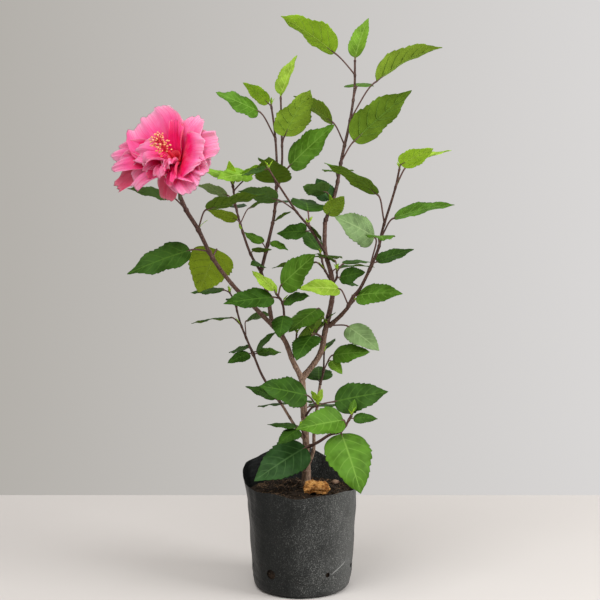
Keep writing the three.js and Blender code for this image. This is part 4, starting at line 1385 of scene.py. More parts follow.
    def stamens_and_column(self) -> None:
        """Makes the column, its filaments and the anthers at their ends."""
        base, axis = np.array(self.base), self.axis
        column, anthers = Heap(), Heap()
        side = unit(np.cross(axis, [0.0, 0.0, 1.0]))
        top = np.cross(side, axis)
        low, high = self.column
        share = np.linspace(0, 1, 24)
        bend = self.column_bend * share**2
        path = base + np.outer(low + (high - low) * share, axis) - np.outer(bend, side)
        column.tube(path, self.column_radius * (1.25 - 0.6 * share), 12)
        for i in range(self.stamens):
            along = mix(self.stamens_from, high, (i / self.stamens) ** 0.8)
            turn = i * self.stamen_turn + self.dice.between(-0.3, 0.3)
            out = side * math.cos(turn) + top * math.sin(turn)
            reach = self.dice.between(*self.stamen_length)
            foot = base + axis * along - side * self.column_bend * ((along - low) / (high - low)) ** 2
            droop = np.array([0, 0, -self.dice.between(0, 1.6)])
            middle = foot + out * reach * 0.55 + axis * reach * 0.35
            end = foot + out * reach * 0.9 + axis * reach * self.dice.between(0.45, 0.9) + droop
            column.tube(np.array([foot, middle, end]), np.array([0.42, 0.34, 0.26]), 6)
            anthers.lump(end, (self.dice.between(1.8, 3.0), 1.5, 1.4), self.dice, 0.3)
        tip = path[-1]
        for k in range(self.stigmas):
            turn = 2 * math.pi * k / self.stigmas
            out = side * math.cos(turn) + top * math.sin(turn)
            end = tip + axis * 5 + out * 3.4
            column.tube(np.array([tip, tip + axis * 2.6 + out * 0.9, end]), np.array([0.5, 0.4, 0.34]), 6)
            anthers.lump(end, self.stigma_size, self.dice, 0.15)
        turns = 2 * math.pi * np.arange(24) / 24
        round_it = np.outer(np.cos(turns), side) + np.outer(np.sin(turns), top)
        rings = [base + axis * along + round_it * radius for along, radius in self.throat]
        column.sheet(np.array(rings), closed=True)
        dress(column.piece("flower_column"), COLUMN.material(), "bloom_petals")
        dress(anthers.piece("anthers"), ANTHERS.material(), "bloom_petals")

    def calyx(self) -> None:
        """Makes the flower's stalk, its green cup of five lobes and the bracts round it."""
        base, seat, axis = np.array(self.base), np.array(self.seat), self.axis
        heap = Heap()
        share = np.linspace(0, 1, 14)[:, None]
        bend = seat + np.array([0, 0, 0.55 * np.linalg.norm(base - seat)])
        foot = base - axis * 7
        path = (1 - share) ** 2 * (seat - [0, 0, 3]) + 2 * share * (1 - share) * bend + share**2 * foot
        heap.tube(path, np.linspace(2.0, 2.4, 14), 12)
        side = unit(np.cross(axis, [0.0, 0.0, 1.0]))
        top = np.cross(side, axis)
        turns = np.linspace(0, 2 * math.pi, 40, endpoint=False)
        rings = []
        for along, radius, tooth in self.cup:
            lobes = tooth * np.cos(self.lobes * turns)
            round_it = np.outer(np.cos(turns), side) + np.outer(np.sin(turns), top)
            rings.append(base + np.outer(along + lobes, axis) + round_it * radius)
        inner = [ring + (base + axis * 3 - ring) * 0.06 for ring in rings[:0:-1]]
        heap.sheet(np.array([np.repeat(base[None] - axis * 9, 40, 0), *rings, *inner]), closed=True)
        for k in range(self.bracts):
            turn = 2 * math.pi * (k + 0.3) / self.bracts
            out = side * math.cos(turn) + top * math.sin(turn)
            start = base - axis * 8 + out * 3
            path = np.array([start, start + out * 3.4 + axis * 2, start + out * 5.4 + axis * 7.5])
            heap.tube(path, np.array([0.9, 0.8, 0.25]), 6)
        dress(heap.piece("calyx"), CALYX.material(), "foliage")

    def build(self) -> None:
        """Makes and dresses the whole bloom."""
        self.corolla()
        self.stamens_and_column()
        self.calyx()


# ---- pot ----

FILM = FilmFinish()
EARTH = EarthFinish("potting_mix", (0.028, 0.017, 0.010), (0.010, 0.0065, 0.004), (0.10, 0.062, 0.036))
CRUMB_TONES = ((0.034, 0.021, 0.013), (0.012, 0.008, 0.005), (0.13, 0.085, 0.05))
CRUMBS = EarthFinish("mix_crumbs", *CRUMB_TONES, 0.9, 0.6)
FIBRE = StemFinish("coir_fibre", (0.17, 0.095, 0.045), 0.8)
# The husk's near-white gold grains are partly paler fibre and partly painted highlights.
HUSK = EarthFinish("husk_fibre", (0.86, 0.44, 0.13), (0.36, 0.12, 0.025), (1.0, 0.78, 0.42), 1.1, 1.6)
PEBBLE = EarthFinish("pale_stone", (0.30, 0.19, 0.13), (0.14, 0.07, 0.045), (0.50, 0.42, 0.32), 1.6, 0.6)


def rippled(waves: Sequence[Point], turn: np.ndarray) -> np.ndarray:
    """Returns the sum of a few waves round the pot: each is a height, a count and a phase."""
    return sum(height * np.sin(count * turn + phase) for height, count, phase in waves)


@dataclass
class GrowBag:
    """The film bag: a soft-walled bucket with an uneven rim, pleats, creases and drain holes."""

    around: int = 192
    upright: int = 58
    profile: tuple[tuple[float, float], ...] = (
        (0, 45), (3, 49.5), (12, 51.5), (27, 52.5), (55, 54.5), (84, 56.7)
    )
    mouth_radius: float = 57.4
    rim_front: float = 104
    rim_rise: float = 30
    rim_high_heading: float = 103
    rim_sharpness: float = 2.2
    rim_waves: tuple[Point, ...] = ((1.3, 5, 0), (0.8, 9, 1))
    film_waves: tuple[Point, ...] = ((0.7, 3, 1), (0.45, 7, 0))
    flare: Point = (4.5, 88, 26)
    floor_insets: Point = (0.07, 0.2, 0.25)
    hole_radius: float = 2.4
    large_hole: float = 5
    hole_height: float = 23
    hole_ring: float = 52
    punch_length: float = 16
    hole_headings: tuple[float, ...] = (190, 234, 301, 350, 36, 87, 139)
    large_hole_heading: float = 234
    film: float = 0.45
    floor_rise: float = 1.6
    sharp_from: float = 50

    def rim_height(self, turn: np.ndarray) -> np.ndarray:
        """Returns how high the rim stands at a heading in radians."""
        near = (1 + np.cos(turn - math.radians(self.rim_high_heading))) / 2
        return self.rim_front + self.rim_rise * near**self.rim_sharpness + rippled(self.rim_waves, turn)

    def radius(self, turn: np.ndarray, z: np.ndarray) -> np.ndarray:
        """The outer radius of the plain side.

        Args:
            turn: headings, in radians.
            z: heights, in millimetres.

        Returns:
            The radii there, in millimetres.
        """
        heights = [point[0] for point in self.profile]
        radii = [point[1] for point in self.profile]
        last = (z - heights[-1]) / np.maximum(self.rim_height(turn) - heights[-1], 1)
        side = np.interp(z, heights, radii) + (self.mouth_radius - radii[-1]) * np.clip(last, 0, 1)
        out, above, over = self.flare
        left = np.maximum(0, np.cos(turn - math.pi))
        flared = out * left**2 * np.maximum(0, (z - above) / over)
        return side + rippled(self.film_waves, turn) * np.minimum(1, z / 12) + flared

    def creases(self, turn: np.ndarray, z: np.ndarray) -> np.ndarray:
        """The film's folds and dents.

        Args:
            turn: headings, in radians.
            z: heights, in millimetres.

        Returns:
            How far they stand out from the plain side there, in millimetres.
        """
        free = smooth(4, 16, z)
        slack = smooth(60, 104, z)
        pleats = 0.5 * np.sin(17 * turn + 0.05 * z) + 0.35 * np.sin(29 * turn - 0.09 * z + 1)
        dents = 0.55 * np.sin(5 * turn + 0.11 * z) * np.sin(3 * turn - 0.07 * z + 2)
        ridge = 0.9 * np.exp(-(((turn * 52 - 0.55 * z + 18) / 3.2) ** 2))
        tuck = 0.7 * np.exp(-(((z - 13 - 1.5 * np.sin(6 * turn)) / 1.6) ** 2))
        return free * (0.35 * pleats * (0.35 + slack) + dents + 0.5 * ridge) - tuck * (1 - slack)

    def wall_rings(self, bag: bpy.types.Object) -> None:
        """Closes the base circle with a floor and extrudes the wall up from it, one unit in all.

        Args:
            bag: the bag, which is still a bare circle.
        """
        step = 1 / self.upright
        bpy.ops.object.mode_set(mode="EDIT")
        bpy.ops.mesh.select_all(action="SELECT")
        for _ in range(self.upright):
            bpy.ops.mesh.extrude_region_move(TRANSFORM_OT_translate={"value": (0, 0, step)})
        bpy.ops.object.mode_set(mode="OBJECT")
        pick(bag, lambda place: place.z < step / 2)
        bpy.ops.object.mode_set(mode="EDIT")
        bpy.ops.mesh.edge_face_add()
        for thickness in self.floor_insets:
            bpy.ops.mesh.inset(thickness=thickness)
        bpy.ops.mesh.select_all(action="SELECT")
        bpy.ops.mesh.normals_make_consistent(inside=False)
        bpy.ops.object.mode_set(mode="OBJECT")

    def shaped(self, points: np.ndarray) -> np.ndarray:
        """Shapes the unit bucket.

        Args:
            points: its points.

        Returns:
            The film's points, in millimetres.
        """
        turn = np.arctan2(points[:, 1], points[:, 0])
        share = points[:, 2]
        z = self.film + share * (self.rim_height(turn) - self.film)
        radius = self.radius(turn, z) + self.creases(turn, z) - self.film
        inward = np.hypot(points[:, 0], points[:, 1])
        rise = np.where(share < 1e-4, self.floor_rise * smooth(0.0, 0.12, 1 - inward), 0)
        return np.stack([radius * inward * np.cos(turn), radius * inward * np.sin(turn), z + rise], -1)

    def holes(self, bag: bpy.types.Object) -> None:
        """Punches the drain holes round the foot.

        Args:
            bag: the bag.
        """
        for heading in self.hole_headings:
            bore = self.large_hole if heading == self.large_hole_heading else self.hole_radius
            turn = math.radians(heading)
            x, y = self.hole_ring * math.cos(turn), self.hole_ring * math.sin(turn)
            bpy.ops.object.select_all(action="DESELECT")
            bpy.ops.mesh.primitive_cylinder_add(
                vertices=20,
                radius=bore * MM,
                depth=self.punch_length * MM,
                location=Vector((x, y, self.hole_height)) * MM,
                rotation=(0, math.pi / 2, turn),
            )
            punch = bpy.context.active_object
            cut = bag.modifiers.new("hole", "BOOLEAN")
            cut.operation, cut.object, cut.solver = "DIFFERENCE", punch, "EXACT"
            apply_modifiers(bag)
            bpy.data.objects.remove(punch)

    def build(self) -> None:
        """Raises the wall, shapes it, thickens it, pierces it and dresses it."""
        bpy.ops.object.select_all(action="DESELECT")
        bpy.ops.mesh.primitive_circle_add(vertices=self.around, radius=1, fill_type="NOTHING")
        bag = rename(bpy.context.active_object, "grow_bag_film")
        self.wall_rings(bag)
        points = np.empty(3 * len(bag.data.vertices))
        bag.data.vertices.foreach_get("co", points)
        bag.data.vertices.foreach_set("co", (self.shaped(points.reshape(-1, 3)) * MM).ravel())
        wall = bag.modifiers.new("film", "SOLIDIFY")
        wall.thickness, wall.offset = self.film * MM, 1
        apply_modifiers(bag)
        self.holes(bag)
        choose(bag)
        bpy.ops.object.shade_smooth_by_angle(angle=math.radians(self.sharp_from))
        dress(bag, FILM.material(), "grow_bag_film", "grow_bag")


@dataclass
class Filling:
    """The potting mix: an uneven top with crumbs, coir fibres and a pale stone."""

    bag: GrowBag
    level: float = 101
    edge_drop: float = 4
    foot: float = 3
    side_heights: tuple[float, ...] = (3, 12, 30, 55, 78, 92)
    mound: float = 4
    mound_top: float = 103
    mound_spread: float = 14
    lumps: float = 0.7
    trunk_foot: tuple[float, float] = (5, 6)
    clear: float = 1.3
    around: int = 144
    rings: int = 48
    crumbs: int = 620
    crumb_reach: float = 52
    fibres: int = 150
    fibre_reach: float = 50
    fibre_length: tuple[float, float] = (3, 13)
    fibre_bow: tuple[float, float] = (-2, 2)
    fibre_radius: tuple[float, float] = (0.12, 0.26)
    seed: int = 17
    stone_place: tuple[float, float] = (36, 20)
    stone_size: Point = (9, 7, 6)

    def height(self, x: np.ndarray, y: np.ndarray) -> np.ndarray:
        """The lie of the mix.

        Args:
            x: places to the right, in millimetres.
            y: places to the back, in millimetres.

        Returns:
            How high it lies there, in millimetres.
        """
        away = (x - self.trunk_foot[0]) ** 2 + (y - self.trunk_foot[1]) ** 2
        near = np.exp(-away / (2 * self.mound_spread**2))
        lumps = self.lumps * (np.sin(x / 5 + 1) * np.cos(y / 6) + np.sin(x / 9 + y / 7))
        return np.minimum(self.mound_top, self.level + self.mound * near + lumps * (1 - near))

    def clods(self, x: np.ndarray, y: np.ndarray) -> np.ndarray:
        """The relief of the clods on top.

        Args:
            x: places to the right, in millimetres.
            y: places to the back, in millimetres.

        Returns:
            How high it stands there, in millimetres.
        """
        coarse = np.sin(x / 2.1 + 2 * np.sin(y / 3.7)) * np.cos(y / 2.4 + 1.7 * np.sin(x / 4.3))
        fine = np.sin(x / 0.9 + 3 * np.sin(y / 1.7)) * np.cos(y / 1.1 + 2 * np.sin(x / 1.3))
        return 0.9 * coarse + 0.45 * fine

    def body(self) -> None:
        """Makes the closed body of the mix, from the bag's floor to its uneven top."""
        turn = 2 * math.pi * np.arange(self.around) / self.around
        inner = self.bag.film + self.clear
        rings = []
        for z in self.side_heights:
            level = np.full(self.around, float(z))
            radius = self.bag.radius(turn, level) - inner - (2.0 if z == self.foot else 0)
            rings.append(np.stack([radius * np.cos(turn), radius * np.sin(turn), level], -1))
        level = np.full(self.around, float(self.level - self.edge_drop))
        radius = self.bag.radius(turn, level) - inner
        edge = np.stack([radius * np.cos(turn), radius * np.sin(turn), level], -1)
        rings.append(edge)
        centre = np.array([*self.trunk_foot, 0])
        for share in np.linspace(0.985, 0.0, self.rings):
            ring = centre + (edge - centre) * share
            x, y = ring[:, 0], ring[:, 1]
            drop = self.edge_drop * smooth(0.86, 1.0, np.full(self.around, share)) * 0.8
            away = np.hypot(x - centre[0], y - centre[1])
            calm = smooth(3, 9, away) * (1 - smooth(0.93, 1.0, np.full(self.around, share)))
            ring[:, 2] = self.height(x, y) - drop + self.clods(x, y) * calm
            rings.append(ring)
        bottom = np.array([[0.0, 0.0, self.foot]] * self.around)
        heap = Heap()
        heap.sheet(np.array([bottom, *rings]), closed=True)
        dress(heap.piece("potting_mix", 1e-3), EARTH.material(), "potting_soil", "potting_soil")

    def strewn(self) -> None:
        """Strews crumbs and fibres over the top, and lays the pale stone on it."""
        dice = Dice(self.seed)
        crumbs, fibres, stone = Heap(), Heap(), Heap()
        for _ in range(self.crumbs):
            turn, share = dice.between(0, 2 * math.pi), dice.between(0.01, 1)
            reach = self.crumb_reach * math.sqrt(share)
            x, y = reach * math.cos(turn), reach * math.sin(turn)
            size = dice.between(0.9, 1.9) if dice.between(0, 1) < 0.8 else dice.between(2.2, 4.6)
            z = float(self.height(np.array(x), np.array(y)) + self.clods(np.array(x), np.array(y)) * 0.6)
            z -= self.edge_drop * float(smooth(47, 53, np.array(reach)))
            crumbs.lump(np.array([x, y, z + 0.15 * size]), (size * 1.3, size, size * 0.8), dice, 0.35)
        for _ in range(self.fibres):
            turn, share = dice.between(0, 2 * math.pi), dice.between(0.01, 1)
            reach = self.fibre_reach * math.sqrt(share)
            x, y, head = reach * math.cos(turn), reach * math.sin(turn), dice.between(0, 360)
            length, bow = dice.between(*self.fibre_length), dice.between(*self.fibre_bow)
            along = np.linspace(-0.5, 0.5, 7)[:, None]
            path = np.array([x, y, 0.0]) + direction(head, 0) * length * along
            path = path + direction(head + 90, 0) * bow * (1 - 4 * along**2)
            lie = self.height(path[:, 0], path[:, 1]) - self.edge_drop * smooth(46, 54, np.hypot(*path.T[:2]))
            path[:, 2] = lie + 0.7 + 0.8 * np.sin(along[:, 0] * 5 + bow)
            fibres.tube(path, np.full(7, dice.between(*self.fibre_radius)), 5)
        x, y = self.stone_place
        z = float(self.height(np.array(x), np.array(y))) + 1.6
        stone.lump(np.array([x, y, z]), self.stone_size, dice, 0.2)
        dress(crumbs.piece("mix_crumbs"), CRUMBS.material(), "potting_soil")
        dress(fibres.piece("coir_fibres"), FIBRE.material(), "potting_soil")
        dress(stone.piece("pale_stone"), PEBBLE.material(), "potting_soil")

    def build(self) -> None:
        """Makes the mix and all that lies on it."""
        self.body()
        self.strewn()


@dataclass
class HuskChip:
    """A chunk of coir husk that lies on the mix by the trunk."""

    at: Point = (15, -31, 102.4)
    size: Point = (28, 17, 12.5)
    core: float = 0.9
    rounding: float = 3.2
    breaks: tuple[tuple[float, float], ...] = ((7.0, 9.0), (2.6, 4.4), (0.9, 1.6))
    fibres: int = 130
    fibre_length: tuple[float, float] = (2, 5.5)
    fibre_radii: Point = (0.22, 0.18, 0.1)
    seed: int = 41

    def build(self) -> None:
        """Rounds off a block, breaks up its faces, frays it and dresses it."""
        bpy.ops.object.select_all(action="DESELECT")
        middle = Vector((self.at[0], self.at[1], self.at[2] + self.size[2] / 2)) * MM
        bpy.ops.mesh.primitive_cube_add(size=1, location=middle, scale=Vector(self.size) * MM * self.core)
        chip = rename(bpy.context.active_object, "husk_chip_body")
        bpy.ops.object.mode_set(mode="EDIT")
        bpy.ops.mesh.select_all(action="SELECT")
        bpy.ops.mesh.bevel(offset=self.rounding * MM, segments=3, affect="EDGES")
        bpy.ops.mesh.subdivide(number_cuts=6)
        bpy.ops.object.mode_set(mode="OBJECT")
        bpy.ops.object.transform_apply(location=True, rotation=True, scale=True)
        for size, depth in self.breaks:
            texture = bpy.data.textures.new("husk_relief", "CLOUDS")
            texture.noise_scale = size * MM
            broken = chip.modifiers.new("broken", "DISPLACE")
            broken.texture, broken.texture_coords = texture, "GLOBAL"
            broken.strength, broken.mid_level = depth * MM, 0.55
        apply_modifiers(chip)
        bpy.ops.object.shade_smooth()
        dress(chip, HUSK.material(), "husk_chip", "husk_chip")
        self.fray()

    def fray(self) -> None:
        """Adds the short fibres that stand out of the chunk."""
        dice, heap = Dice(self.seed), Heap()
        centre = np.array(self.at) + [0, 0, self.size[2] * 0.45]
        for _ in range(self.fibres):
            head, lift = dice.between(0, 360), dice.between(-8, 78)
            out = direction(head, lift)
            start = centre + out * np.array(self.size) * 0.4
            aside = direction(head + dice.between(40, 140), dice.between(-20, 30))
            length = dice.between(*self.fibre_length)
            bend = start + out * 1.3 + aside * 0.4 * length
            end = start + out * 1.1 + aside * length
            heap.tube(np.array([start, bend, end]), np.array(self.fibre_radii), 5)
        dress(heap.piece("husk_fibres"), HUSK.material(), "husk_chip")


# ---- the plant, place by place ----

TRUNK = {
    "trunk": Limb(
        through=[(5, 6, 98.5), (5, 5, 138), (2.5, 3, 183), (0.5, 2, 217)],
        radii=[5.4, 3.7, 3.6, 3.3],
    ),
}
BOUGHS = {
    "left_bough": Limb(
        through=[
            (0.5, 2, 215), (-9.5, -1, 235), (-19.5, -5, 259), (-43, -12, 285),
            (-68, -20, 311), (-83, -26, 330),
        ],
        radii=[3.0, 2.8, 2.6, 2.4, 2.2, 2.1],
    ),
    "right_leader": Limb(
        through=[
            (0.5, 2, 215), (19, 5, 239.9), (25, 8, 264.9), (32.6, 13, 299.8),
            (32.2, 17, 321.9), (25.2, 23, 350), (25.3, 30, 380.4),
        ],
        radii=[3.1, 3.1, 3.0, 2.7, 2.6, 2.4, 2.3],
    ),
    "middle_bough": Limb(
        through=[(-30, -8.2, 271), (-33.1, 2, 286.8), (-35.2, 10, 300.7), (-43.5, 24, 326.8)],
        radii=[2.4, 2.3, 2.2, 2.1],
    ),
    "right_bough": Limb(
        through=[(29, 9, 269.9), (39.9, 1, 280.2), (47.6, -8, 289.5)],
        radii=[2.4, 2.2, 2.0],
    ),
    "low_left_stem": Limb(
        through=[(3.8, 4, 150), (-6.5, 9, 163.8), (-21.1, 15, 186.4)],
        radii=[1.7, 1.6, 1.5],
    ),
    "slender_stem": Limb(
        through=[(5, 5, 119), (12.5, 4, 138.9), (13.5, 6, 161.7), (19.6, 12, 207.3)],
        radii=[1.9, 1.9, 1.8, 1.5],
    ),
}
SPRAYS = {
    "flowering_spray": Spray(
        seed=3,
        stem=[(-83, -26, 330), (-93, -30, 346), (-104.5, -40, 371), (-114.5, -48, 388), (-121, -54, 403)],
        radii=(2.1, 2.2),
        leaves=[
            Leaf(0.2, 70, 40, 13, -54, 56, -40, turn=60, width=0.86, tint=Tint.OLIVE),
            Leaf(0.28, 184, 4, 19, -21, 68, 42, turn=4),
            Leaf(0.5, -20, 64, 22, 14, 62, -12, turn=8, droop=8),
            Leaf(0.79, 160, 38, 24, 9, 48, -24, tint=Tint.DEEP),
        ],
    ),
    "left_spray": Spray(
        seed=11,
        stem=[
            (-43.5, 24, 326.8), (-55.2, 25, 347.5), (-65.2, 27, 376.6),
            (-70.6, 29, 397.2), (-74.1, 32, 420.1),
        ],
        radii=(1.6, 1.0),
        leaves=[
            Leaf(0.24, -30, 40, 4, 4, 24, -20),
            Leaf(0.44, 195, 64, 14, 17, 34, -28, tint=Tint.OLIVE),
            Leaf(0.52, 35, 56, 21, 22, 30, -24),
            Leaf(0.62, 100, 40, 14, 6, 42, 0, tint=Tint.DEEP),
            Leaf(0.7, 165, 58, 19, 18, 38, -34, tint=Tint.PAINTED_SHEEN),
            Leaf(0.93, 20, 48, 26, -10, 47, 34, turn=206, tint=Tint.FRESH),
            Leaf(0.98, 158, 60, 13, 18, 32, 24, tint=Tint.FRESH),
            Leaf(1.0, 30, 60, 8, 22, 42, -30, tint=Tint.YOUNG),
            Leaf(1.0, 250, 74, 9, 66, 19, 0, tint=Tint.YOUNG),
        ],
    ),
    "middle_spray": Spray(
        seed=19,
        stem=[
            (-43.5, 24, 326.8), (-34.5, 30, 364.3), (-29.5, 34, 388.7), (-27.6, 37, 414.4),
            (-26.7, 40, 439.3), (-28.9, 45, 477), (-33.2, 50, 509),
        ],
        radii=(2.0, 1.1),
        twig=Twig(
            at=0.5,
            through=[(-21.5, 44, 442.5), (-21.7, 50, 478.2), (-22.9, 56, 518.6)],
            radii=(1.4, 1.1),
        ),
        tint=Tint.LUSH,
        leaves=[
            Leaf(0.02, 285, 30, 4, 2, 28, 30, turn=-40, tint=Tint.GROWN),
            Leaf(0.1, 148, 56, 9, 27, 27, 24),
            Leaf(0.13, -20, 30, 4, -24, 22, 34),
            Leaf(0.27, 30, 40, 4, 26, 22, -28, tint=Tint.GROWN),
            Leaf(0.36, 76, 40, 15, 4, 50, 0, turn=10, tint=Tint.DEEP),
            Leaf(0.5, -15, 60, 31, 40, 66, 50, turn=-4, width=0.8),
            Leaf(0.53, 262, 30, 8, 30, 48, 0, width=0.84),
            Leaf(0.64, 112, 50, 7, 10, 44, -34, width=0.8),
            Leaf(0.81, 200, 56, 35, 19, 52, 44, turn=6, droop=4, width=0.8),
            Leaf(0.99, 190, 50, 5, 38, 36, -34, tint=Tint.YOUNG),
            Leaf(0.55, -40, 70, 10, 52, 60, -2, on="twig", width=0.9, tint=Tint.FRESH),
            Leaf(1.0, 30, 76, 3, 66, 50, 20, on="twig", width=0.48, fold=30, tint=Tint.YOUNG),
        ],
    ),
    "cross_spray": Spray(
        seed=23,
        stem=[(26.2, 22, 346), (9, 8, 373.1), (-5, -1, 390), (-24, -14, 417.9), (-33.9, -20, 433.8)],
        radii=(1.5, 0.9),
        leaves=[
            Leaf(0.22, 160, 0, 6, -4, 34, 44, width=0.8),
            Leaf(0.26, 105, 72, 18, 18, 50, -10, turn=-10, width=0.76),
            Leaf(0.3, 20, -20, 4, -42, 26, 20, turn=30),
            Leaf(0.5, 190, 32, 24, 11, 43, -34, turn=6, tint=Tint.DEEP),
            Leaf(1.0, 150, -10, 4, -10, 30, 30),
        ],
    ),
    "centre_spray": Spray(
        seed=29,
        stem=[(-19.3, -5, 258), (-17.9, -20, 282.3), (-19.8, -28, 296.5), (-25.6, -36, 305.6)],
        radii=(1.5, 1.0),
        leaves=[
            Leaf(0.32, 262, 20, 4, -38, 34, 0),
            Leaf(0.66, -50, 30, 4, 10, 32, 40, turn=15),
            Leaf(0.8, 205, 12, 8, -6, 54, 38),
            Leaf(0.9, -40, 70, 12, 35, 55, 80, droop=4, width=0.62, tint=Tint.LUSH),
            Leaf(1.0, 128, 50, 4, 36, 34, 12, turn=22, tint=Tint.YOUNG),
        ],
    ),
    "heart_spray": Spray(
        seed=31,
        stem=[(-9.3, -1, 234), (-6.5, -6, 250), (-5, -7, 263)],
        radii=(1.3, 0.9),
        leaves=[
            Leaf(0.5, 60, 60, 4, 27, 44, -48, turn=-24, width=0.85),
            Leaf(1.0, 130, 60, 3, 40, 22, -20),
        ],
    ),
    "inner_left_spray": Spray(
        seed=37,
        stem=[(23.6, 9, 256.8), (16.5, -4, 262.1), (12, -12, 263.2)],
        radii=(1.2, 0.9),
        leaves=[
            Leaf(0.6, 20, 60, 8, 34, 27, -30, turn=20),
            Leaf(0.9, 240, -20, 4, -36, 40, 0, width=0.78),
            Leaf(1.0, -62, 60, 4, 42, 28, 30),
        ],
    ),
    "inner_right_spray": Spray(
        seed=43,
        stem=[(32.7, 15.5, 312.8), (37.1, 6, 321), (37, 2, 328)],
        radii=(1.2, 0.9),
        leaves=[
            Leaf(0.5, -35, 10, 4, 10, 32, 64),
            Leaf(0.62, 40, -40, 10, -10, 24, 24),
            Leaf(0.9, 24, 50, 12, 2, 34, 10),
            Leaf(1.0, 130, 76, 12, 12, 32, -26),
        ],
    ),
    "top_spray": Spray(
        seed=47,
        stem=[
            (25.3, 30, 380.4), (36.6, 38, 412.2), (44.2, 48, 451.9),
            (53, 58, 490.4), (58.7, 66, 528.3), (59.6, 70, 562.1),
        ],
        radii=(2.2, 1.2),
        tint=Tint.LUSH,
        leaves=[
            Leaf(0.02, -50, 60, 5, 36, 33, -34, tint=Tint.FRESH),
            Leaf(0.13, 205, 62, 14, 6, 40, -34, turn=25, tint=Tint.DEEP),
            Leaf(0.27, 95, 40, 18, 2, 58, 0, turn=-12),
            Leaf(0.37, -10, 58, 27, 40, 83, -42, turn=-4, fold=24),
            Leaf(0.47, 176, 62, 29, 34, 55, -26, turn=-16, fold=12, width=0.8, tint=Tint.FRESH),
            Leaf(0.62, -8, 55, 51, 27, 82, -15, turn=6, droop=34, width=0.62, fold=20, tint=Tint.FRESH),
            Leaf(0.74, 70, 50, 22, 12, 56, 0, turn=10),
            Leaf(0.9, 188, 46, 33, 33, 72, -22, width=0.66, fold=20, tint=Tint.YOUNG),
            Leaf(1.0, 42, 76, 3, 66, 52, 20, width=0.5, fold=32, tint=Tint.FRESH),
            Leaf(0.12, 150, 60, 6, 58, 29, 50, width=0.8, tint=Tint.DEEP),
        ],
    ),
    "right_spray": Spray(
        seed=53,
        stem=[
            (47.6, -8, 289.5), (53.4, -13, 301.5), (62, -20, 313.5), (77, -36, 348.9),
            (81.5, -43, 370.2), (92.5, -56, 408.6), (96.9, -62, 430.4),
        ],
        radii=(2.0, 1.0),
        tint=Tint.LUSH,
        leaves=[
            Leaf(0.04, 190, 60, 20, 1, 46, 40, turn=14, tint=Tint.YOUNG),
            Leaf(0.18, -30, 10, 4, 3, 52, 40),
            Leaf(0.42, 10, 82, 32, 24, 50, 66, turn=195, width=0.74, tint=Tint.PAINTED_SHEEN),
            Leaf(0.44, 12, 20, 5, 18, 42, 24, tint=Tint.GROWN),
            Leaf(0.54, 262, 40, 14, -6, 48, 0, turn=10),
            Leaf(0.6, -10, 57, 25, 12, 62, 22),
            Leaf(0.7, 188, 75, 30, 28, 64, -4, turn=10, droop=26),
            Leaf(0.86, 12, 58, 25, 19, 50, 8, turn=6, width=0.7, fold=12, tint=Tint.YOUNG),
            Leaf(1.0, -60, 70, 4, 22, 38, -34, turn=30, tint=Tint.YOUNG),
        ],
    ),
    "outer_right_spray": Spray(
        seed=59,
        stem=[(27, 9, 267.9), (33.1, 20, 271.7), (45.5, 28, 283.3), (56.9, 30, 296.2)],
        radii=(1.2, 1.0),
        leaves=[
            Leaf(0.22, -8, -2, 19, -31, 46, 36, turn=-29, tint=Tint.PAINTED_SHEEN),
            Leaf(1.0, 24, 30, 8, 6, 38, -30),
            Leaf(0.02, 200, 62, 23, -30, 46, 10, turn=20, width=0.8, tint=Tint.LUSH),
        ],
    ),
    "slender_spray": Spray(
        seed=61,
        stem=[(19.6, 12, 207.3), (23.3, 20, 220.6), (24.4, 32, 240.1)],
        radii=(1.4, 0.9),
        leaves=[
            Leaf(0.06, 110, 30, 5, 14, 44, 0, turn=-20, width=0.7),
            Leaf(0.52, -30, 56, 21, 7, 44, 50, tint=Tint.LUSH),
            Leaf(0.56, -40, 46, 14, -36, 22, 30, turn=-8, tint=Tint.FRESH),
            Leaf(1.0, 60, 40, 5, 24, 24, -20),
        ],
    ),
    "low_left_spray": Spray(
        seed=67,
        stem=[
            (-21.1, 15, 186.4), (-40.4, 24, 212.8), (-51.7, 30, 237.6),
            (-65.3, 38, 268.5), (-72.8, 42, 293.7), (-78.1, 44, 303.9),
        ],
        radii=(1.5, 0.9),
        leaves=[
            Leaf(0.03, 165, 20, 4, 20, 36, 20),
            Leaf(0.4, 20, 20, 4, 0, 28, 30, tint=Tint.LUSH),
            Leaf(0.41, 205, 0, 4, -20, 27, 32),
            Leaf(0.42, -24, 10, 5, 42, 33, 36),
            Leaf(0.44, 145, 20, 4, -14, 28, 24),
            Leaf(0.52, 80, 76, 18, 10, 30, -24, turn=-55, width=0.95, tint=Tint.DEEP),
            Leaf(0.6, 176, 38, 14, -9, 46, -3, turn=-8, fold=3),
            Leaf(0.72, 92, 40, 14, 4, 44, 0),
            Leaf(1.0, 160, 20, 8, -5, 40, 16),
        ],
    ),
    "low_twig_spray": Spray(
        seed=71,
        stem=[(3.3, 3, 174), (10, -8, 185.3), (16.9, -15, 189.6)],
        radii=(1.3, 1.0),
        tint=Tint.LUSH,
        leaves=[
            Leaf(0.9, 196, 48, 15, 13, 55, 50, turn=8, width=0.66, tint=Tint.GROWN),
            Leaf(0.95, 290, 66, 4, 52, 17, 0, turn=-60, tint=Tint.YOUNG),
            Leaf(1.0, 60, 70, 3, 58, 16, -10, tint=Tint.YOUNG),
            Leaf(1.0, -12, 14, 18, 12, 57, 52, width=0.64, tint=Tint.GROWN),
        ],
    ),
    "low_front_spray": Spray(
        seed=73,
        stem=[(4.8, 5, 142), (17, -15, 151.5), (28.8, -26, 161), (40.6, -36, 166.7), (50.4, -40, 182.8)],
        radii=(1.7, 1.2),
        leaves=[
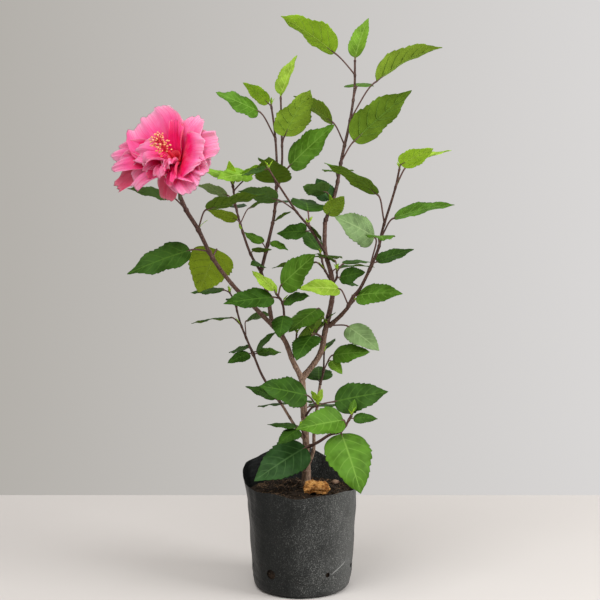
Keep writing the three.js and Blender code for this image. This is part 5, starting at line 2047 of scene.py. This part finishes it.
            Leaf(0.1, 222, -6, 7, -27, 66, 40, turn=-16, width=0.66, tint=Tint.DEEP),
            Leaf(0.74, -90, -10, 7, -58, 64, 10, turn=32, width=0.8, tint=Tint.LUSH),
            Leaf(0.86, 206, 60, 6, -6, 54, 52, fold=18, tint=Tint.LUSH),
            Leaf(0.95, -10, 10, 4, 0, 25, 40),
            Leaf(1.0, 70, 70, 4, 50, 15, 0, tint=Tint.LUSH),
        ],
    ),
    "back_spray": Spray(
        seed=83,
        stem=[(32.8, 14.5, 306), (31, 34, 318), (25, 52, 330), (21, 64, 346)],
        radii=(1.6, 1.0),
        leaves=[
            Leaf(0.45, 20, 40, 12, 2, 46, 0),
            Leaf(0.62, 176, 40, 14, -8, 50, -10, turn=-10),
            Leaf(0.85, 76, 30, 12, -4, 54, 0),
            Leaf(1.0, 130, 60, 5, 40, 40, 0),
        ],
    ),
    "low_back_spray": Spray(
        seed=89,
        stem=[(3.4, 4, 163), (2, 22, 176), (-3, 40, 184)],
        radii=(1.5, 1.0),
        leaves=[
            Leaf(0.6, 28, 24, 10, -6, 48, 0),
            Leaf(0.8, 160, 24, 10, -10, 50, 0, turn=-16),
            Leaf(1.0, 88, 20, 5, -12, 56, 0),
        ],
    ),
    "foot_spray": Spray(
        seed=79,
        stem=[(4.6, 4, 152), (1, -7, 161.2), (-1, -11, 166.3)],
        radii=(1.2, 0.9),
        leaves=[
            Leaf(1.0, 178, 20, 4, 2, 31, 8),
            Leaf(0.9, 224, -20, 4, -22, 31, 20),
        ],
    ),
}

# Petals from the back of the flower to its middle.
PETALS = [
    Petal(8, 34, -2, 46, ruffle=2.0),
    Petal(30, -4, 2, 40, ruffle=2.0),
    Petal(-4, -20, -2, 36, Kind.FLUSHED, ruffle=2.0),
    Petal(26, -12, 9, 40, Kind.FLUSHED, ruffle=1.8),
    Petal(-56, 6, 2, 42, Kind.FLUSHED, ruffle=2.0),
    Petal(-8, 47, 5, 36, waves=2.2, ruffle=1.8),
    Petal(-42, 52, 13, 66, cup=0.2, ruffle=1.7, waves=3.0, rounded=0.4),
    Petal(18, 48, 11, 44, ruffle=1.5, rounded=0.5, waves=2.0),
    Petal(39, 20, 8, 50, ruffle=2.2, waves=2.6),
    Petal(15, -28, 7, 42, Kind.FLUSHED, ruffle=2.2, waves=2.4),
    Petal(-69, -19, 4, 38, Kind.DUSKY_SHADED, ruffle=1.2, waves=1.6),
    Petal(-11, -36, 1, 32, Kind.DUSKY_SHADED, ruffle=1.6, waves=1.8),
    Petal(-62, 24, 12, 30, Kind.FLUSHED, twist=20, ruffle=1.5, waves=2.0),
    Petal(-74, 12, 13, 30, Kind.FLUSHED, twist=-12, ruffle=1.5, waves=1.8),
    Petal(-71, 0, 17, 32, Kind.FLUSHED, twist=10, ruffle=1.6, waves=1.8),
    Petal(-50, 25, 15, 20, Kind.DEEP, twist=24, ruffle=1.6),
    Petal(-47, -22, 18, 46, ruffle=2.2, waves=2.4, twist=8),
    Petal(-28, -15, 23, 24, Kind.DEEP, twist=-20),
    Petal(25, 10, 16, 54, Kind.FLUSHED, curl=26, ruffle=1.7, waves=1.7, twist=10, cup=0.05),
    Petal(-45, 12, 23, 36, curl=34, ruffle=1.9, waves=1.9),
    Petal(-7, 45, 25, 17, Kind.DEEP, curl=-14, ruffle=2.0, waves=2.2, twist=30),
    Petal(1, 41, 23, 15, Kind.DEEP, curl=-8, ruffle=2.0, waves=2.0, twist=-34),
    Petal(-33, 1, 33, 28, curl=52, ruffle=1.8, waves=1.6, twist=14),
    Petal(-34, -8, 27, 16, Kind.FLUSHED, curl=30, twist=-24),
    Petal(-17, -15, 27, 20, curl=40, twist=12),
    Petal(-9, -6, 29, 13, curl=30, twist=-18),
    Petal(-6, -22, 18, 16, Kind.DEEP, curl=20, twist=16),
]


# ---- studio ----


@dataclass(frozen=True)
class Lamp:
    """A soft square lamp: its place and the length of its side, in metres, and its power in watts."""

    name: str
    place: Point
    side: float
    power: float


@dataclass
class Studio:
    """The camera, the pale floor and the soft light, in metres."""

    camera_place: Point = (0, -1.100, 0.345)
    focal_px: float = 1049.6
    frame_px: float = 600
    axis_px: tuple[float, float] = (301.5, 255)
    sensor: float = 36
    floor_far: float = 0.409
    floor_half: float = 3.0
    floor_level: float = -0.0002
    floor_colour: Colour = (0.565, 0.538, 0.518)
    floor_painted_light: float = 1.12
    lamps: tuple[Lamp, ...] = (
        Lamp("key", (2.0, -0.85, 1.5), 1.2, 45),
        Lamp("top", (-0.6, -1.1, 2.0), 1.5, 32),
    )
    aim: Point = (0, 0, 0.3)
    air_left: Colour = (0.455, 0.435, 0.405)
    air_right: Colour = (0.69, 0.675, 0.668)
    air_turn: float = 0.27

    def camera(self) -> None:
        """Sets the camera level before the plant, with its frame moved down."""
        data = bpy.data.cameras.new("camera")
        data.sensor_width = self.sensor
        data.lens = self.sensor * self.focal_px / self.frame_px
        data.shift_x = (self.frame_px / 2 - self.axis_px[0]) / self.frame_px
        data.shift_y = (self.axis_px[1] - self.frame_px / 2) / self.frame_px
        camera = bpy.data.objects.new("camera", data)
        camera.location = self.camera_place
        camera.rotation_euler = (math.pi / 2, 0, 0)
        bpy.context.scene.view_settings.view_transform = "Standard"
        bpy.context.scene.collection.objects.link(camera)
        bpy.context.scene.camera = camera

    def floor(self) -> None:
        """Lays the floor, whose far edge is the line behind the pot; it is painted lighter towards the right,
        as painted light from that side.
        """
        near = self.floor_far - 2 * self.floor_half
        corners = [(-self.floor_half, near), (self.floor_half, near)]
        corners += [(self.floor_half, self.floor_far), (-self.floor_half, self.floor_far)]
        mesh = bpy.data.meshes.new("floor")
        mesh.from_pydata([(x, y, self.floor_level) for x, y in corners], [], [(0, 1, 2, 3)])
        floor = bpy.data.objects.new("floor", mesh)
        bpy.context.scene.collection.objects.link(floor)
        board = Board("pale_floor")
        grain = board.noise(3, detail=3)
        # The floor grows lighter towards the right: a painted pool of light from the right.
        right = board.node("ShaderNodeSeparateXYZ", {}, {0: board.place()}, 0).step(-0.35, 0.45)
        painted_lit_floor = tuple(channel * self.floor_painted_light for channel in self.floor_colour)
        toned = board.blend(right * 0.9 + grain * 0.1, self.floor_colour, painted_lit_floor)
        floor.data.materials.append(board.finish(Base_Color=toned, Roughness=0.85, Specular_IOR_Level=0.2))

    def light(self, lamp: Lamp) -> None:
        """Adds a lamp that faces the plant.

        Args:
            lamp: the lamp.
        """
        data = bpy.data.lights.new(lamp.name, "AREA")
        data.size = lamp.side
        data.energy = lamp.power
        light = bpy.data.objects.new(lamp.name, data)
        light.location = lamp.place
        light.rotation_euler = (Vector(self.aim) - Vector(lamp.place)).to_track_quat("-Z", "Y").to_euler()
        bpy.context.scene.collection.objects.link(light)

    def air(self) -> None:
        """Fills the room with soft, slightly warm grey light, a little brighter on the right."""
        world = bpy.data.worlds.new("air")
        bpy.context.scene.world = world
        world.use_nodes = True
        tree = world.node_tree
        way = tree.nodes.new("ShaderNodeTexCoord").outputs["Generated"]
        parts = tree.nodes.new("ShaderNodeSeparateXYZ")
        share = tree.nodes.new("ShaderNodeMapRange")
        share.inputs["From Min"].default_value = -self.air_turn
        share.inputs["From Max"].default_value = self.air_turn
        tone = tree.nodes.new("ShaderNodeMix")
        tone.data_type = "RGBA"
        tone.inputs[6].default_value = (*self.air_left, 1)
        tone.inputs[7].default_value = (*self.air_right, 1)
        tree.links.new(way, parts.inputs[0])
        tree.links.new(parts.outputs["X"], share.inputs["Value"])
        tree.links.new(share.outputs[0], tone.inputs[0])
        tree.links.new(tone.outputs[2], tree.nodes["Background"].inputs["Color"])

    def build(self) -> None:
        """Sets up the whole studio."""
        self.camera()
        self.floor()
        for lamp in self.lamps:
            self.light(lamp)
        self.air()


def main() -> None:
    """Builds the studio and the plant, part by part."""
    logging.basicConfig(level=logging.INFO, format="%(name)s %(message)s")
    bag = GrowBag()
    seat = SPRAYS["flowering_spray"].stem[-1]
    parts = {
        "studio": Studio(),
        "grow bag": bag,
        "filling": Filling(bag),
        "husk chip": HuskChip(),
        "trunk": Wood("trunk_wood", TRUNK, OLD_BARK, "trunk_bark", 0.5),
        "boughs": Wood("bough_wood", BOUGHS, BOUGH_BARK, "bough_bark", 0.22),
        "foliage": Foliage(SPRAYS),
        "bloom": Bloom(PETALS, seat),
    }
    for name, part in parts.items():
        log.info("building the %s", name)
        part.build()


if __name__ == "__main__":
    main()
